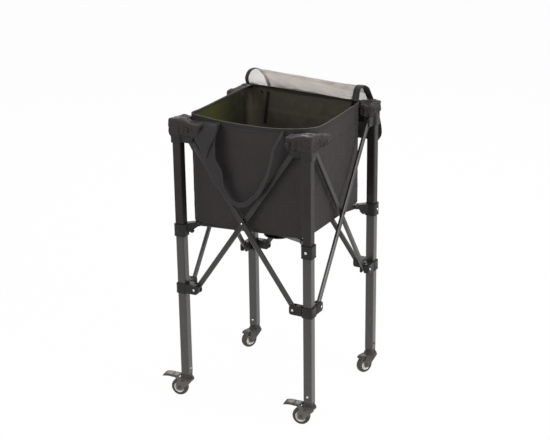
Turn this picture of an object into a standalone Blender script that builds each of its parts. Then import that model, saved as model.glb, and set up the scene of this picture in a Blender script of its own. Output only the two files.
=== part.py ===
"""Folding tennis ball cart: four square legs on casters, a scissor brace on each side, and a hung ball bag.

Metres, +Z up. X runs along the front face and Y runs to the back. The cart is built round the middle of its
four legs, and one empty moves it so that the middle of its whole outline stands on the world origin.
"""

import math

import bmesh
import bpy
from mathutils import Matrix, Vector

# Legs
LEG_SPACING = 0.375
LEG_SIDE = 0.024
LEG_WALL = 0.0015
LEG_CORNER = 0.003
LEG_TOP = 0.7812

# Clearances
GAP = 0.0003
RUNNING_GAP = 0.0003
SLIDE_GAP = 0.0004
SLOT_GAP = 0.0006

# Moulded brackets round the legs
SLEEVE_WALL = 0.0032
CAP_THICKNESS = 0.003
TOP_SLEEVE_LENGTH = 0.0765
SLIDER_LOW = 0.302
SLIDER_HEIGHT = 0.044
CHEEK = 0.0026
CLEVIS_ROUND = 0.010
ARM_HEIGHT_TOP = 0.034
ARM_HEIGHT_LOW = 0.030
SLIDER_PIN_UP = 0.020

# Scissor braces
PIN_IN = 0.040
TOP_PIN_DROP = 0.0432
PIN_RADIUS = 0.0025
PIN_HEAD_RADIUS = 0.0046
PIN_HEAD_HEIGHT = 0.0014
BRACE_WIDTH = 0.014
BRACE_THICKNESS = 0.008
BRACE_WALL = 0.0012
BRACE_END = 0.0054
BRACE_GAP = 0.0008
FOLDED_SPACING = 0.160

# Middle collars and the floor arms
COLLAR_LOW = 0.4675
COLLAR_HEIGHT = 0.033
SCREW_RADIUS = 0.0034
SCREW_HEIGHT = 0.0012
ARM_PIVOT_IN = 0.0325
ARM_PIVOT_DROP = 0.006
ARM_SLOPE = math.radians(13.5)
ARM_WIDTH = 0.012
ARM_THICKNESS = 0.008
ARM_END = 0.0037
HUB_RADIUS = 0.040
HUB_PIN_RADIUS_AT = 0.030
HUB_PLATE = 0.003
HUB_EAR_RISE = 0.0058
HUB_EAR_IN = 0.006
HUB_EAR_OUT = 0.0075
HUB_EAR = 0.0022

# Casters
WHEEL_RADIUS = 0.024
TYRE_WIDTH = 0.016
TYRE_DEPTH = 0.0075
HUB_PROUD = 0.001
AXLE_RADIUS = 0.003
AXLE_HEAD_RADIUS = 0.0048
TRAIL = 0.022
FORK_PLATE = 0.002
FORK_SIDE_GAP = 0.0006
CROWN_RADIUS = 0.0165
CROWN_PLATE = 0.0025
CROWN_CLEAR = 0.0025
RACE_RADIUS = 0.0112
RACE_HEIGHT = 0.007
STEM_RADIUS = 0.004
STEM_HEAD_RADIUS = 0.0065
STEM_HEAD_HEIGHT = 0.0035
PLUG_FLANGE = 0.0074
PLUG_LENGTH = 0.026
PLUG_GAP = 0.0004
RIVET_UP = 0.016
RIVET_RADIUS = 0.002
RIVET_HEAD_RADIUS = 0.0032
RIVET_HEAD_HEIGHT = 0.001
FRONT_HEADING = math.radians(188.0)
BACK_HEADING = math.radians(246.0)
PEDAL_REACH = 0.068
PEDAL_SHEET = 0.0018
PEDAL_PIVOT_BACK = 0.010
PEDAL_PIVOT_DROP = 0.0035
PEDAL_PIVOT_RADIUS = 0.0026
PEDAL_RISE = 0.0125
PEDAL_PRESS = math.radians(12.0)

# Bag
BAG_INSET = 0.0225
BAG_RIM_UP = 0.0078
BAG_CLEAR = 0.004
FABRIC = 0.003
FLOOR_FABRIC = 0.003
BACK_FLANGE = 0.047
HOOD_REACH_X = 0.074
HOOD_REACH_Y = 0.095
HOOD_DEPTH = 0.0436
HOOD_WALL = 0.0018
HANDLE_FROM_HOOD = 0.0015
HANDLE_WIDTH = 0.028
HANDLE_THICKNESS = 0.0024
HANDLE_TOP_DOWN = 0.001
HANDLE_DROP = 0.204
HANDLE_SPARE = 0.0047
HANDLE_LIFT = math.radians(150.0)
LID_INSET = 0.005
LID_FABRIC = 0.002
LID_FOLD_UP = 0.023
LID_ROOT_RUN = 0.077
LID_ROOT_RISE = 0.016
LID_FLAP_RUN = 0.075
LID_FLAP_DROP = 0.173
LID_BULGE = 0.022

# Round pieces
PIN_SIDES = 8
HEAD_SIDES = 12
WHEEL_SIDES = 24

HALF = LEG_SPACING / 2
HALF_LEG = LEG_SIDE / 2
CROWN_LOW = 2 * WHEEL_RADIUS + CROWN_CLEAR
CROWN_HIGH = CROWN_LOW + CROWN_PLATE
PLUG_LOW = CROWN_HIGH + RACE_HEIGHT + GAP
LEG_BOTTOM = PLUG_LOW + PLUG_FLANGE + GAP
SLEEVE_IN = HALF_LEG + SLIDE_GAP
SLEEVE_OUT = SLEEVE_IN + SLEEVE_WALL
LAYER = (BRACE_THICKNESS + BRACE_GAP) / 2
SLOT = BRACE_THICKNESS + 2 * SLOT_GAP
CLEVIS = SLOT + 2 * CHEEK
ARM_SLOT = ARM_THICKNESS + 2 * SLOT_GAP
ARM_CLEVIS = ARM_SLOT + 2 * CHEEK
TOP_PIN_HEIGHT = LEG_TOP - TOP_PIN_DROP
LOW_PIN_HEIGHT = SLIDER_LOW + SLIDER_PIN_UP
PIN_HALF_SPAN = HALF - PIN_IN
BRACE_RISE = TOP_PIN_HEIGHT - LOW_PIN_HEIGHT
BRACE_LENGTH = math.hypot(2 * PIN_HALF_SPAN, BRACE_RISE)
BRACE_ANGLE = math.atan2(2 * PIN_HALF_SPAN, BRACE_RISE)
FOLDED_ANGLE = math.asin((FOLDED_SPACING - 2 * PIN_IN) / BRACE_LENGTH)
FOLD_TURN = BRACE_ANGLE - FOLDED_ANGLE
CROSS_HEIGHT = (TOP_PIN_HEIGHT + LOW_PIN_HEIGHT) / 2
CAP_TOP = LEG_TOP + GAP + CAP_THICKNESS
BAG_HALF = HALF - BAG_INSET
BAG_RIM = LEG_TOP + BAG_RIM_UP
COLLAR_HIGH = COLLAR_LOW + COLLAR_HEIGHT
BAG_BOTTOM = COLLAR_HIGH + BAG_CLEAR
ARM_PIVOT_HEIGHT = COLLAR_HIGH - ARM_PIVOT_DROP
ARM_START = math.sqrt(2) * (HALF - ARM_PIVOT_IN)
ARM_LENGTH = (ARM_START - HUB_PIN_RADIUS_AT) / math.cos(ARM_SLOPE)
HUB_PIN_HEIGHT = ARM_PIVOT_HEIGHT - ARM_LENGTH * math.sin(ARM_SLOPE)
FOLDED_ARM_START = math.sqrt(2) * (FOLDED_SPACING / 2 - ARM_PIVOT_IN)
ARM_TURN = math.acos((FOLDED_ARM_START - HUB_PIN_RADIUS_AT) / ARM_LENGTH) - ARM_SLOPE
HUB_HALF_WIDTH = TYRE_WIDTH / 2 + HUB_PROUD
FORK_IN = HUB_HALF_WIDTH + FORK_SIDE_GAP
FORK_OUT = FORK_IN + FORK_PLATE
PEDAL_PIVOT_HEIGHT = CROWN_LOW - PEDAL_PIVOT_DROP
PEDAL_PLATE_HEIGHT = PEDAL_PIVOT_HEIGHT + PEDAL_RISE
LID_HALF = BAG_HALF - LID_INSET
LID_FOLD = Vector((0.0, BAG_HALF - BACK_FLANGE, BAG_RIM + LID_FOLD_UP))
LID_BEND = LID_FOLD + Vector((0.0, LID_ROOT_RUN, LID_ROOT_RISE))
LID_END = LID_BEND + Vector((0.0, LID_FLAP_RUN, -LID_FLAP_DROP))
HANDLE_OUT = BAG_HALF + GAP + HANDLE_THICKNESS / 2
HANDLE_HANG = HALF + LAYER + BRACE_THICKNESS / 2 + PIN_HEAD_HEIGHT + HANDLE_SPARE + HANDLE_THICKNESS / 2
HANDLE_HALF = HALF - HOOD_REACH_X - HANDLE_FROM_HOOD - HANDLE_WIDTH / 2
HANDLE_TOP = BAG_RIM - HANDLE_TOP_DOWN
HOOD_OUT = SLEEVE_OUT + GAP + HOOD_WALL
HOOD_IN = HALF - BAG_HALF - GAP
HOOD_TOP = CAP_TOP + GAP + HOOD_WALL
HOOD_BOTTOM = HOOD_TOP - HOOD_DEPTH

CORNERS = {
    "front_left": Vector((-HALF, -HALF, 0.0)),
    "front_right": Vector((HALF, -HALF, 0.0)),
    "back_left": Vector((-HALF, HALF, 0.0)),
    "back_right": Vector((HALF, HALF, 0.0)),
}
UP = Vector((0.0, 0.0, 1.0))
# Each face runs from its first corner to its second, and faces outwards.
# The corner named last holds the top pin of the outer brace.
FACES = {
    "front": ("front_left", "front_right", Vector((0.0, -1.0, 0.0)), "front_left"),
    "left": ("front_left", "back_left", Vector((-1.0, 0.0, 0.0)), "front_left"),
    "right": ("front_right", "back_right", Vector((1.0, 0.0, 0.0)), "back_right"),
    "back": ("back_left", "back_right", Vector((0.0, 1.0, 0.0)), "back_right"),
}
HEADINGS = {
    "front_left": FRONT_HEADING,
    "front_right": FRONT_HEADING,
    "back_left": BACK_HEADING,
    "back_right": BACK_HEADING,
}
# Colour, roughness and metallic of each finish
FINISHES = {
    "charcoal_paint": ((0.055, 0.051, 0.048, 1.0), 0.42, 0.55),
    "black_moulding": ((0.022, 0.021, 0.020, 1.0), 0.48, 0.0),
    "dark_steel": ((0.060, 0.056, 0.052, 1.0), 0.38, 0.8),
    "tyre_grey": ((0.070, 0.068, 0.066, 1.0), 0.62, 0.0),
    "white_hub": ((0.780, 0.770, 0.740, 1.0), 0.35, 0.0),
    "pedal_grey": ((0.230, 0.205, 0.190, 1.0), 0.45, 0.2),
    "black_nylon": ((0.026, 0.024, 0.025, 1.0), 0.75, 0.0),
    "black_webbing": ((0.018, 0.017, 0.018, 1.0), 0.80, 0.0),
    "grey_mesh": ((0.520, 0.490, 0.460, 1.0), 0.85, 0.0),
}


def clear_scene():
    """Take every object out of the scene that is open."""
    for item in list(bpy.data.objects):
        bpy.data.objects.remove(item, do_unlink=True)


def finish(name):
    """The material of this name, made the first time that it is asked for."""
    found = bpy.data.materials.get(name)
    if found is None:
        colour, roughness, metallic = FINISHES[name]
        found = bpy.data.materials.new(name)
        found.use_nodes = True
        shader = found.node_tree.nodes["Principled BSDF"]
        shader.inputs["Base Color"].default_value = colour
        shader.inputs["Roughness"].default_value = roughness
        shader.inputs["Metallic"].default_value = metallic
        found.diffuse_color = colour
    return found


def link(name, bm):
    """A new object that holds this bmesh, with its faces turned outwards."""
    bmesh.ops.remove_doubles(bm, verts=bm.verts, dist=1e-6)
    bmesh.ops.recalc_face_normals(bm, faces=bm.faces)
    mesh = bpy.data.meshes.new(name)
    bm.to_mesh(mesh)
    bm.free()
    item = bpy.data.objects.new(name, mesh)
    bpy.context.scene.collection.objects.link(item)
    return item


def prism(outline, low, high, along, across, up):
    """A solid with this outline in the plane of along and up, reaching from low to high across it."""
    bm = bmesh.new()
    near = [bm.verts.new(along * a + up * b + across * low) for a, b in outline]
    far = [bm.verts.new(along * a + up * b + across * high) for a, b in outline]
    bm.faces.new(near)
    bm.faces.new(list(reversed(far)))
    for i in range(len(outline)):
        j = (i + 1) % len(outline)
        bm.faces.new((near[j], near[i], far[i], far[j]))
    return link("prism", bm)


def rectangle(left, right, low, high):
    """The four corners of a rectangle, going round it."""
    return [(left, low), (right, low), (right, high), (left, high)]


def block(low, high):
    """A box between two corners."""
    outline = rectangle(low[0], high[0], low[1], high[1])
    return prism(outline, low[2], high[2], Vector((1, 0, 0)), UP, Vector((0, 1, 0)))


def pin(start, end, radius, sides=PIN_SIDES, spin=0.0):
    """A round bar between two points."""
    way = (end - start).normalized()
    side = way.orthogonal().normalized()
    other = way.cross(side)
    outline = []
    for i in range(sides):
        turn = 2 * math.pi * i / sides + spin
        outline.append((radius * math.cos(turn), radius * math.sin(turn)))
    item = prism(outline, 0.0, (end - start).length, side, way, other)
    item.data.transform(Matrix.Translation(start))
    return item


def turned(profile, centre, axis, sides):
    """A ring or disc turned from a closed profile of (radius, place along the axis) points."""
    way = axis.normalized()
    side = way.orthogonal().normalized()
    other = way.cross(side)
    bm = bmesh.new()
    rings = []
    for i in range(sides):
        turn = 2 * math.pi * i / sides
        spoke = side * math.cos(turn) + other * math.sin(turn)
        rings.append([bm.verts.new(centre + spoke * r + way * h) for r, h in profile])
    for i in range(sides):
        here, there = rings[i], rings[(i + 1) % sides]
        for j in range(len(profile)):
            k = (j + 1) % len(profile)
            bm.faces.new((here[j], here[k], there[k], there[j]))
    return link("turned", bm)


def rounded_square(half, corner, steps=2):
    """The outline of a square with round corners."""
    points = []
    for quarter in range(4):
        middle = Vector((half - corner, half - corner))
        for i in range(steps + 1):
            turn = math.pi / 2 * i / steps
            point = middle + Vector((corner * math.cos(turn), corner * math.sin(turn)))
            turned_point = Matrix.Rotation(quarter * math.pi / 2, 2) @ point
            points.append((turned_point.x, turned_point.y))
    return points


def rounded_bar_outline(half_width, half_thickness, corner):
    """The outline of a flat bar with its four edges broken by one facet each."""
    return [
        (half_width, -half_thickness + corner),
        (half_width, half_thickness - corner),
        (half_width - corner, half_thickness),
        (-half_width + corner, half_thickness),
        (-half_width, half_thickness - corner),
        (-half_width, -half_thickness + corner),
        (-half_width + corner, -half_thickness),
        (half_width - corner, -half_thickness),
    ]


def pipe(outer, inner, start, end, side, other):
    """A straight tube with open ends, from two outlines with as many points each."""
    bm = bmesh.new()
    loops = []
    for outline, place in ((outer, start), (outer, end), (inner, end), (inner, start)):
        loops.append([bm.verts.new(place + side * a + other * b) for a, b in outline])
    for k in range(4):
        here, there = loops[k], loops[(k + 1) % 4]
        for i in range(len(outer)):
            j = (i + 1) % len(outer)
            bm.faces.new((here[i], here[j], there[j], there[i]))
    return link("pipe", bm)


def combine(base, others, operation):
    """Join solids to the base or cut them out of it, and drop them."""
    for other in others:
        step = base.modifiers.new("cut", "BOOLEAN")
        step.operation = operation
        step.solver = "EXACT"
        step.object = other
        graph = bpy.context.evaluated_depsgraph_get()
        made = bpy.data.meshes.new_from_object(base.evaluated_get(graph))
        base.modifiers.remove(step)
        base.data = made
        bpy.data.objects.remove(other, do_unlink=True)
    return base


def join(base, *others):
    """The base and the others as one solid."""
    return combine(base, others, "UNION")


def cut(base, *others):
    """The base with the others cut out of it."""
    return combine(base, others, "DIFFERENCE")


class Cart:
    """Keeps the bodies that move together, each with an empty on its joint's axis."""

    def __init__(self):
        """Start with the empty that carries the whole cart."""
        self.places = {}
        self.empties = {}
        self.members = {}

    def body(self, name, place, parent=None):
        """Add a body whose joint axis runs through this place."""
        empty = bpy.data.objects.new("axis_" + name, None)
        bpy.context.scene.collection.objects.link(empty)
        above = self.places[parent] if parent else Vector((0.0, 0.0, 0.0))
        if parent:
            empty.parent = self.empties[parent]
        empty.location = place - above
        empty.empty_display_size = 0.02
        self.places[name] = place.copy()
        self.empties[name] = empty
        self.members[name] = []

    def add(self, item, name, body, look):
        """Name a solid, give it its finish and hang it on its body."""
        item.name = name
        item.data.name = name
        item.data.materials.clear()
        item.data.materials.append(finish(look))
        item.data.transform(Matrix.Translation(-self.places[body]))
        item.parent = self.empties[body]
        item.data.shade_smooth()
        item.data.set_sharp_from_angle(angle=math.radians(35.0))
        self.members[body].append(name)
        return item


def towards(corner):
    """The two ways along the faces from a corner to its neighbours."""
    place = CORNERS[corner]
    return Vector((-math.copysign(1.0, place.x), 0, 0)), Vector((0, -math.copysign(1.0, place.y), 0))


def inward(corner):
    """The level way from a corner to the middle of the cart."""
    along_x, along_y = towards(corner)
    return (along_x + along_y).normalized()


def top_pin(face, corner):
    """Where a face's top pin is, on the leg's own middle plane."""
    first, second, _, _ = FACES[face]
    other = second if corner == first else first
    way = (CORNERS[other] - CORNERS[corner]).normalized()
    return CORNERS[corner] + way * PIN_IN + UP * TOP_PIN_HEIGHT


def low_pin(face, corner):
    """Where a face's lower pin is."""
    return top_pin(face, corner) - UP * BRACE_RISE


def layer_of(face, top_corner):
    """How far a brace stands outside its face's middle plane."""
    return LAYER if FACES[face][3] == top_corner else -LAYER


def sleeve(corner, low, high, closed_top=False, extras=()):
    """A square sleeve round a leg with the extras joined on, and a cap on it if it is the top one."""
    outline_out = [(a, b) for a, b in rounded_square(SLEEVE_OUT, LEG_CORNER + SLEEVE_WALL, 1)]
    outline_in = [(a, b) for a, b in rounded_square(SLEEVE_IN, LEG_CORNER * 0.6, 1)]
    place = CORNERS[corner]
    x, y = Vector((1, 0, 0)), Vector((0, 1, 0))
    item = prism(outline_out, low, high, x, UP, y)
    if extras:
        join(item, *extras)
    roof = high - CAP_THICKNESS if closed_top else high + 0.01
    hollow = prism(outline_in, low - 0.01, roof, x, UP, y)
    cut(item, hollow)
    item.data.transform(Matrix.Translation(place))
    return item


def clevis(corner, along, outward, layer, pin_height, height):
    """One forked arm of a bracket, which holds a brace's end between two cheeks."""
    place = CORNERS[corner] + outward * layer
    low, high = pin_height - height / 2, pin_height + height / 2
    tip = PIN_IN + CLEVIS_ROUND
    chamfer = CLEVIS_ROUND * 0.55
    outline = [
        (HALF_LEG + SLIDE_GAP + SLEEVE_WALL / 2, low),
        (tip - chamfer, low),
        (tip, low + chamfer),
        (tip, high - chamfer),
        (tip - chamfer, high),
        (HALF_LEG + SLIDE_GAP + SLEEVE_WALL / 2, high),
    ]
    arm = prism(outline, -CLEVIS / 2, CLEVIS / 2, along, outward, UP)
    slot_start = PIN_IN - math.hypot(BRACE_WIDTH / 2, BRACE_END) - SLOT_GAP
    slot = rectangle(slot_start, tip + 0.01, low - 0.01, high + 0.01)
    cut(arm, prism(slot, -SLOT / 2, SLOT / 2, along, outward, UP))
    middle = along * PIN_IN + UP * pin_height
    head = CLEVIS / 2 + PIN_HEAD_HEIGHT
    sunk = CLEVIS / 2 - CHEEK / 2
    bolt = pin(middle - outward * sunk, middle + outward * sunk, PIN_RADIUS)
    cap = pin(middle + outward * sunk, middle + outward * head, PIN_HEAD_RADIUS, HEAD_SIDES)
    join(arm, bolt, cap)
    arm.data.transform(Matrix.Translation(place))
    return arm


def bracket(cart, name, corner, body, pin_height, low, high, height, layer, closed_top):
    """A moulded bracket: a sleeve on the leg with a forked arm along each face."""
    item = sleeve(corner, low, high, closed_top)
    along_x, along_y = towards(corner)
    arms = []
    for along, outward in ((along_x, -along_y), (along_y, -along_x)):
        arms.append(clevis(corner, along, outward, layer, pin_height, height))
    join(item, *arms)
    return cart.add(item, name, body, "black_moulding")


def bar(start, end, side, width, thickness, ends, holes):
    """A flat tube that reaches past both of its pins, with a hole for each pin."""
    way = (end - start).normalized()
    other = way.cross(side).normalized()
    outer = rounded_bar_outline(width / 2, thickness / 2, BRACE_WALL * 1.5)
    inner = rounded_bar_outline(width / 2 - BRACE_WALL, thickness / 2 - BRACE_WALL, BRACE_WALL)
    item = pipe(outer, inner, start - way * ends, end + way * ends, other, side)
    for place in holes:
        cut(item, pin(place - side * thickness, place + side * thickness, PIN_RADIUS + RUNNING_GAP))
    return item


def build_legs(cart):
    """Four square tubes, each drilled for the rivet that holds its caster plug."""
    for corner, place in CORNERS.items():
        outer = rounded_square(HALF_LEG, LEG_CORNER)
        inner = rounded_square(HALF_LEG - LEG_WALL, LEG_CORNER - LEG_WALL)
        x, y = Vector((1, 0, 0)), Vector((0, 1, 0))
        item = pipe(outer, inner, place + UP * LEG_BOTTOM, place + UP * LEG_TOP, x, y)
        outward, _ = rivet_way(corner)
        middle = place + UP * (LEG_BOTTOM + RIVET_UP)
        hole_start = middle + outward * (HALF_LEG - 3 * LEG_WALL)
        cut(item, pin(hole_start, middle + outward * (HALF_LEG + LEG_WALL), RIVET_RADIUS + GAP))
        cart.add(item, "leg_" + corner, "leg_" + corner, "charcoal_paint")


def rivet_way(corner):
    """The side of the leg that the plug's rivet shows on, and the other one."""
    along_x, along_y = towards(corner)
    if corner in ("front_right", "back_left"):
        side = -along_y if corner == "front_right" else along_y
        return side, along_x
    return (along_x if corner == "front_left" else -along_x), along_y


def build_brackets(cart):
    """The fixed bracket on each leg's top, and the one that slides on its lower half."""
    for corner in CORNERS:
        outer_top = corner in ("front_left", "back_right")
        layer = LAYER if outer_top else -LAYER
        low = CAP_TOP - TOP_SLEEVE_LENGTH
        bracket(cart, "top_bracket_" + corner, corner, "leg_" + corner, TOP_PIN_HEIGHT, low, CAP_TOP,
                ARM_HEIGHT_TOP, layer, True)
        bracket(cart, "slider_" + corner, corner, "slider_" + corner, LOW_PIN_HEIGHT, SLIDER_LOW,
                SLIDER_LOW + SLIDER_HEIGHT, ARM_HEIGHT_LOW, -layer, False)


def build_braces(cart):
    """Two crossed braces on each face, the outer one with the rivet that both turn on."""
    for face, (first, second, outward, outer_corner) in FACES.items():
        for name, top_corner, low_corner in (("fall", first, second), ("rise", second, first)):
            away = outward * layer_of(face, top_corner)
            start = top_pin(face, top_corner) + away
            end = low_pin(face, low_corner) + away
            middle = (start + end) / 2
            outer = top_corner == outer_corner
            holes = (start, end) if outer else (start, end, middle)
            item = bar(start, end, outward, BRACE_WIDTH, BRACE_THICKNESS, BRACE_END, holes)
            if outer:
                reach = 2 * LAYER + BRACE_THICKNESS / 2 + GAP + PIN_HEAD_HEIGHT
                face_out = middle + outward * (BRACE_THICKNESS / 2 - BRACE_WALL / 2)
                shank = pin(face_out, middle - outward * (reach - PIN_HEAD_HEIGHT / 2), PIN_RADIUS)
                near = pin(face_out, middle + outward * (BRACE_THICKNESS / 2 + PIN_HEAD_HEIGHT),
                           PIN_HEAD_RADIUS, HEAD_SIDES)
                far = pin(middle - outward * (reach - PIN_HEAD_HEIGHT), middle - outward * reach,
                          PIN_HEAD_RADIUS, HEAD_SIDES)
                join(item, shank, near, far)
            cart.add(item, f"brace_{face}_{name}", f"brace_{face}_{name}", "charcoal_paint")


def build_collars(cart):
    """A collar screwed to the middle of each leg, with a fork that points at the cart's middle."""
    for corner in CORNERS:
        high = COLLAR_HIGH
        way = inward(corner)
        side = way.cross(UP)
        pivot = math.sqrt(2) * ARM_PIVOT_IN
        tip = pivot + ARM_WIDTH / 2 + SLOT_GAP
        root = HALF_LEG
        low = ARM_PIVOT_HEIGHT - ARM_WIDTH / 2 - SLOT_GAP
        above = ARM_PIVOT_HEIGHT + ARM_WIDTH / 2 / math.cos(ARM_SLOPE)
        top_tip = above - (tip - pivot) * math.tan(ARM_SLOPE)
        shoulder = pivot - (high - above) / math.tan(ARM_SLOPE)
        outline = [(root, COLLAR_LOW + SLEEVE_WALL), (pivot, low), (tip, low + SLEEVE_WALL), (tip, top_tip)]
        outline += [(shoulder, high), (root, high)]
        fork = prism(outline, -ARM_CLEVIS / 2, ARM_CLEVIS / 2, way, side, UP)
        start = pivot - math.hypot(ARM_WIDTH / 2, ARM_END) - SLOT_GAP
        slot = rectangle(start, tip + 0.01, COLLAR_LOW - 0.01, high + 0.01)
        cut(fork, prism(slot, -ARM_SLOT / 2, ARM_SLOT / 2, way, side, UP))
        middle = way * pivot + UP * ARM_PIVOT_HEIGHT
        sunk = ARM_CLEVIS / 2 - CHEEK / 2
        join(fork, pin(middle - side * sunk, middle + side * sunk, PIN_RADIUS))
        outward = collar_screw_way(corner)
        centre = UP * (COLLAR_LOW + COLLAR_HEIGHT / 2)
        screw_in = centre + outward * (SLEEVE_OUT - SLEEVE_WALL / 2)
        screw = pin(screw_in, centre + outward * (SLEEVE_OUT + SCREW_HEIGHT), SCREW_RADIUS, HEAD_SIDES)
        item = sleeve(corner, COLLAR_LOW, high, False, (fork, screw))
        cart.add(item, "collar_" + corner, "leg_" + corner, "black_moulding")


def collar_screw_way(corner):
    """The outer side of the leg that the collar's screw is on."""
    along_x, along_y = towards(corner)
    return -along_y if corner.startswith("front") else -along_x


def build_floor_arms(cart):
    """Four arms from the collars down to a hub plate under the bag's floor.

    The front left arm is pinned to the plate. The other three end over it, because their pins would close
    a loop whose arms turn by uneven amounts.
    """
    for corner, place in CORNERS.items():
        way = inward(corner)
        start = place + way * math.sqrt(2) * ARM_PIVOT_IN + UP * ARM_PIVOT_HEIGHT
        end = start + (way * math.cos(ARM_SLOPE) - UP * math.sin(ARM_SLOPE)) * ARM_LENGTH
        item = bar(start, end, way.cross(UP), ARM_WIDTH, ARM_THICKNESS, ARM_END, (start, end))
        cart.add(item, "floor_arm_" + corner, "floor_arm_" + corner, "charcoal_paint")
    plate_top = -math.hypot(ARM_WIDTH / 2, ARM_END) - GAP
    plate_low = plate_top - HUB_PLATE
    chamfer = HUB_PLATE / 4
    profile = [(HUB_RADIUS, plate_low + chamfer), (HUB_RADIUS, plate_top - chamfer)]
    profile += [(HUB_RADIUS - chamfer, plate_top), (PIN_RADIUS, plate_top)]
    profile += [(PIN_RADIUS, plate_low), (HUB_RADIUS - chamfer, plate_low)]
    centre = UP * HUB_PIN_HEIGHT
    hub = turned(profile, centre, UP, WHEEL_SIDES)
    out = -inward("front_left")
    side = out.cross(UP)
    near, far = HUB_PIN_RADIUS_AT - HUB_EAR_IN, HUB_PIN_RADIUS_AT + HUB_EAR_OUT
    block_half = ARM_SLOT / 2 + HUB_EAR
    outline = rectangle(near, far, plate_low + HUB_PLATE / 2, HUB_EAR_RISE)
    ears = prism(outline, -block_half, block_half, out, side, UP)
    slot = rectangle(near - 0.01, far + 0.01, plate_top, HUB_EAR_RISE + 0.01)
    cut(ears, prism(slot, -ARM_SLOT / 2, ARM_SLOT / 2, out, side, UP))
    middle = out * HUB_PIN_RADIUS_AT
    sunk = block_half - HUB_EAR / 2
    join(ears, pin(middle - side * sunk, middle + side * sunk, PIN_RADIUS))
    ears.data.transform(Matrix.Translation(centre))
    join(hub, ears)
    cart.add(hub, "floor_hub", "floor_hub", "black_moulding")


def build_caster(cart, corner):
    """One swivel caster: plug and stem, fork with its axle, wheel, and a brake pedal in front."""
    place = CORNERS[corner]
    heading = HEADINGS[corner]
    back = Vector((math.cos(heading), math.sin(heading), 0.0))
    side = back.cross(UP)
    build_plug(cart, corner, place)

    plate = rectangle(-CROWN_RADIUS, TRAIL * 0.9, -FORK_OUT, FORK_OUT)
    top = prism(plate, CROWN_LOW, CROWN_HIGH, back, UP, side)
    race = pin(UP * CROWN_LOW, UP * (PLUG_LOW - GAP), RACE_RADIUS, WHEEL_SIDES)
    axle_height = WHEEL_RADIUS
    outline = [
        (-CROWN_RADIUS, CROWN_HIGH),
        (-CROWN_RADIUS, CROWN_LOW - FORK_PLATE),
        (TRAIL - 0.0065, axle_height - 0.005),
        (TRAIL + 0.0045, axle_height - 0.005),
        (TRAIL + 0.0065, axle_height + 0.001),
        (TRAIL * 0.95, CROWN_HIGH),
    ]
    cheeks = [prism(outline, FORK_IN, FORK_OUT, back, side, UP)]
    cheeks.append(prism(outline, -FORK_OUT, -FORK_IN, back, side, UP))
    axle_at = back * TRAIL + UP * axle_height
    half_axle = side * (FORK_OUT + PIN_HEAD_HEIGHT)
    axle = pin(axle_at - half_axle, axle_at + half_axle, AXLE_RADIUS)
    heads = []
    for sign in (-1, 1):
        heads.append(pin(axle_at + side * sign * (FORK_OUT - FORK_PLATE / 2),
                         axle_at + side * sign * (FORK_OUT + PIN_HEAD_HEIGHT), AXLE_HEAD_RADIUS, HEAD_SIDES))
    fork = join(top, race, *cheeks, axle, *heads)
    if corner.startswith("front"):
        pivot = back * PEDAL_PIVOT_BACK + UP * PEDAL_PIVOT_HEIGHT
        boss_end = FORK_OUT + GAP + PEDAL_SHEET * 1.5
        for sign in (-1, 1):
            root = pivot + side * sign * (FORK_OUT - FORK_PLATE / 2)
            join(fork, pin(root, pivot + side * sign * boss_end, PEDAL_PIVOT_RADIUS))
    cut(fork, pin(UP * (CROWN_LOW - 0.01), UP * (PLUG_LOW + 0.01), STEM_RADIUS + RUNNING_GAP, HEAD_SIDES))
    fork.data.transform(Matrix.Translation(place))
    cart.add(fork, "fork_" + corner, "caster_" + corner, "dark_steel")

    centre = place + axle_at
    inner = WHEEL_RADIUS - TYRE_DEPTH
    half = TYRE_WIDTH / 2
    tread = [(inner, -half), (WHEEL_RADIUS - 0.003, -half), (WHEEL_RADIUS, -half + 0.003)]
    tread += [(WHEEL_RADIUS, half - 0.003), (WHEEL_RADIUS - 0.003, half), (inner, half)]
    tyre = turned(tread, centre, side, WHEEL_SIDES)
    cart.add(tyre, "tyre_" + corner, "wheel_" + corner, "tyre_grey")
    rim = inner - GAP
    dish = [(AXLE_RADIUS + RUNNING_GAP, -HUB_HALF_WIDTH), (0.0062, -HUB_HALF_WIDTH), (0.0075, -half * 0.6)]
    dish += [(rim - 0.0025, -half * 0.6), (rim - 0.0015, -half), (rim, -half)]
    dish += [(r, -h) for r, h in reversed(dish)]
    hub = turned(dish, centre, side, WHEEL_SIDES)
    cart.add(hub, "wheel_hub_" + corner, "wheel_" + corner, "white_hub")
    if corner.startswith("front"):
        build_pedal(cart, corner, place, back, side)


def build_plug(cart, corner, place):
    """The plug riveted into the leg's end, with the stem that the fork turns on."""
    half = HALF_LEG - LEG_WALL - PLUG_GAP
    x, y = Vector((1, 0, 0)), Vector((0, 1, 0))
    plug = prism(rounded_square(half, LEG_CORNER / 2, 1), PLUG_LOW + GAP, LEG_BOTTOM + PLUG_LENGTH, x, UP, y)
    flange = prism(rounded_square(HALF_LEG - GAP, LEG_CORNER, 1), PLUG_LOW, LEG_BOTTOM - GAP, x, UP, y)
    head_top = CROWN_LOW - GAP
    head_low = head_top - STEM_HEAD_HEIGHT
    stem = pin(UP * (head_low + head_top) / 2, UP * (PLUG_LOW + PLUG_FLANGE / 2), STEM_RADIUS, HEAD_SIDES)
    head = pin(UP * head_low, UP * head_top, STEM_HEAD_RADIUS, HEAD_SIDES)
    outward, _ = rivet_way(corner)
    middle = UP * (LEG_BOTTOM + RIVET_UP)
    head_at = middle + outward * (HALF_LEG + GAP)
    rivet = pin(middle, head_at + outward * RIVET_HEAD_HEIGHT / 2, RIVET_RADIUS)
    rivet_head = pin(head_at, head_at + outward * RIVET_HEAD_HEIGHT, RIVET_HEAD_RADIUS, HEAD_SIDES)
    join(plug, flange, stem, head, rivet, rivet_head)
    plug.data.transform(Matrix.Translation(place))
    cart.add(plug, "caster_plug_" + corner, "leg_" + corner, "black_moulding")


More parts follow.
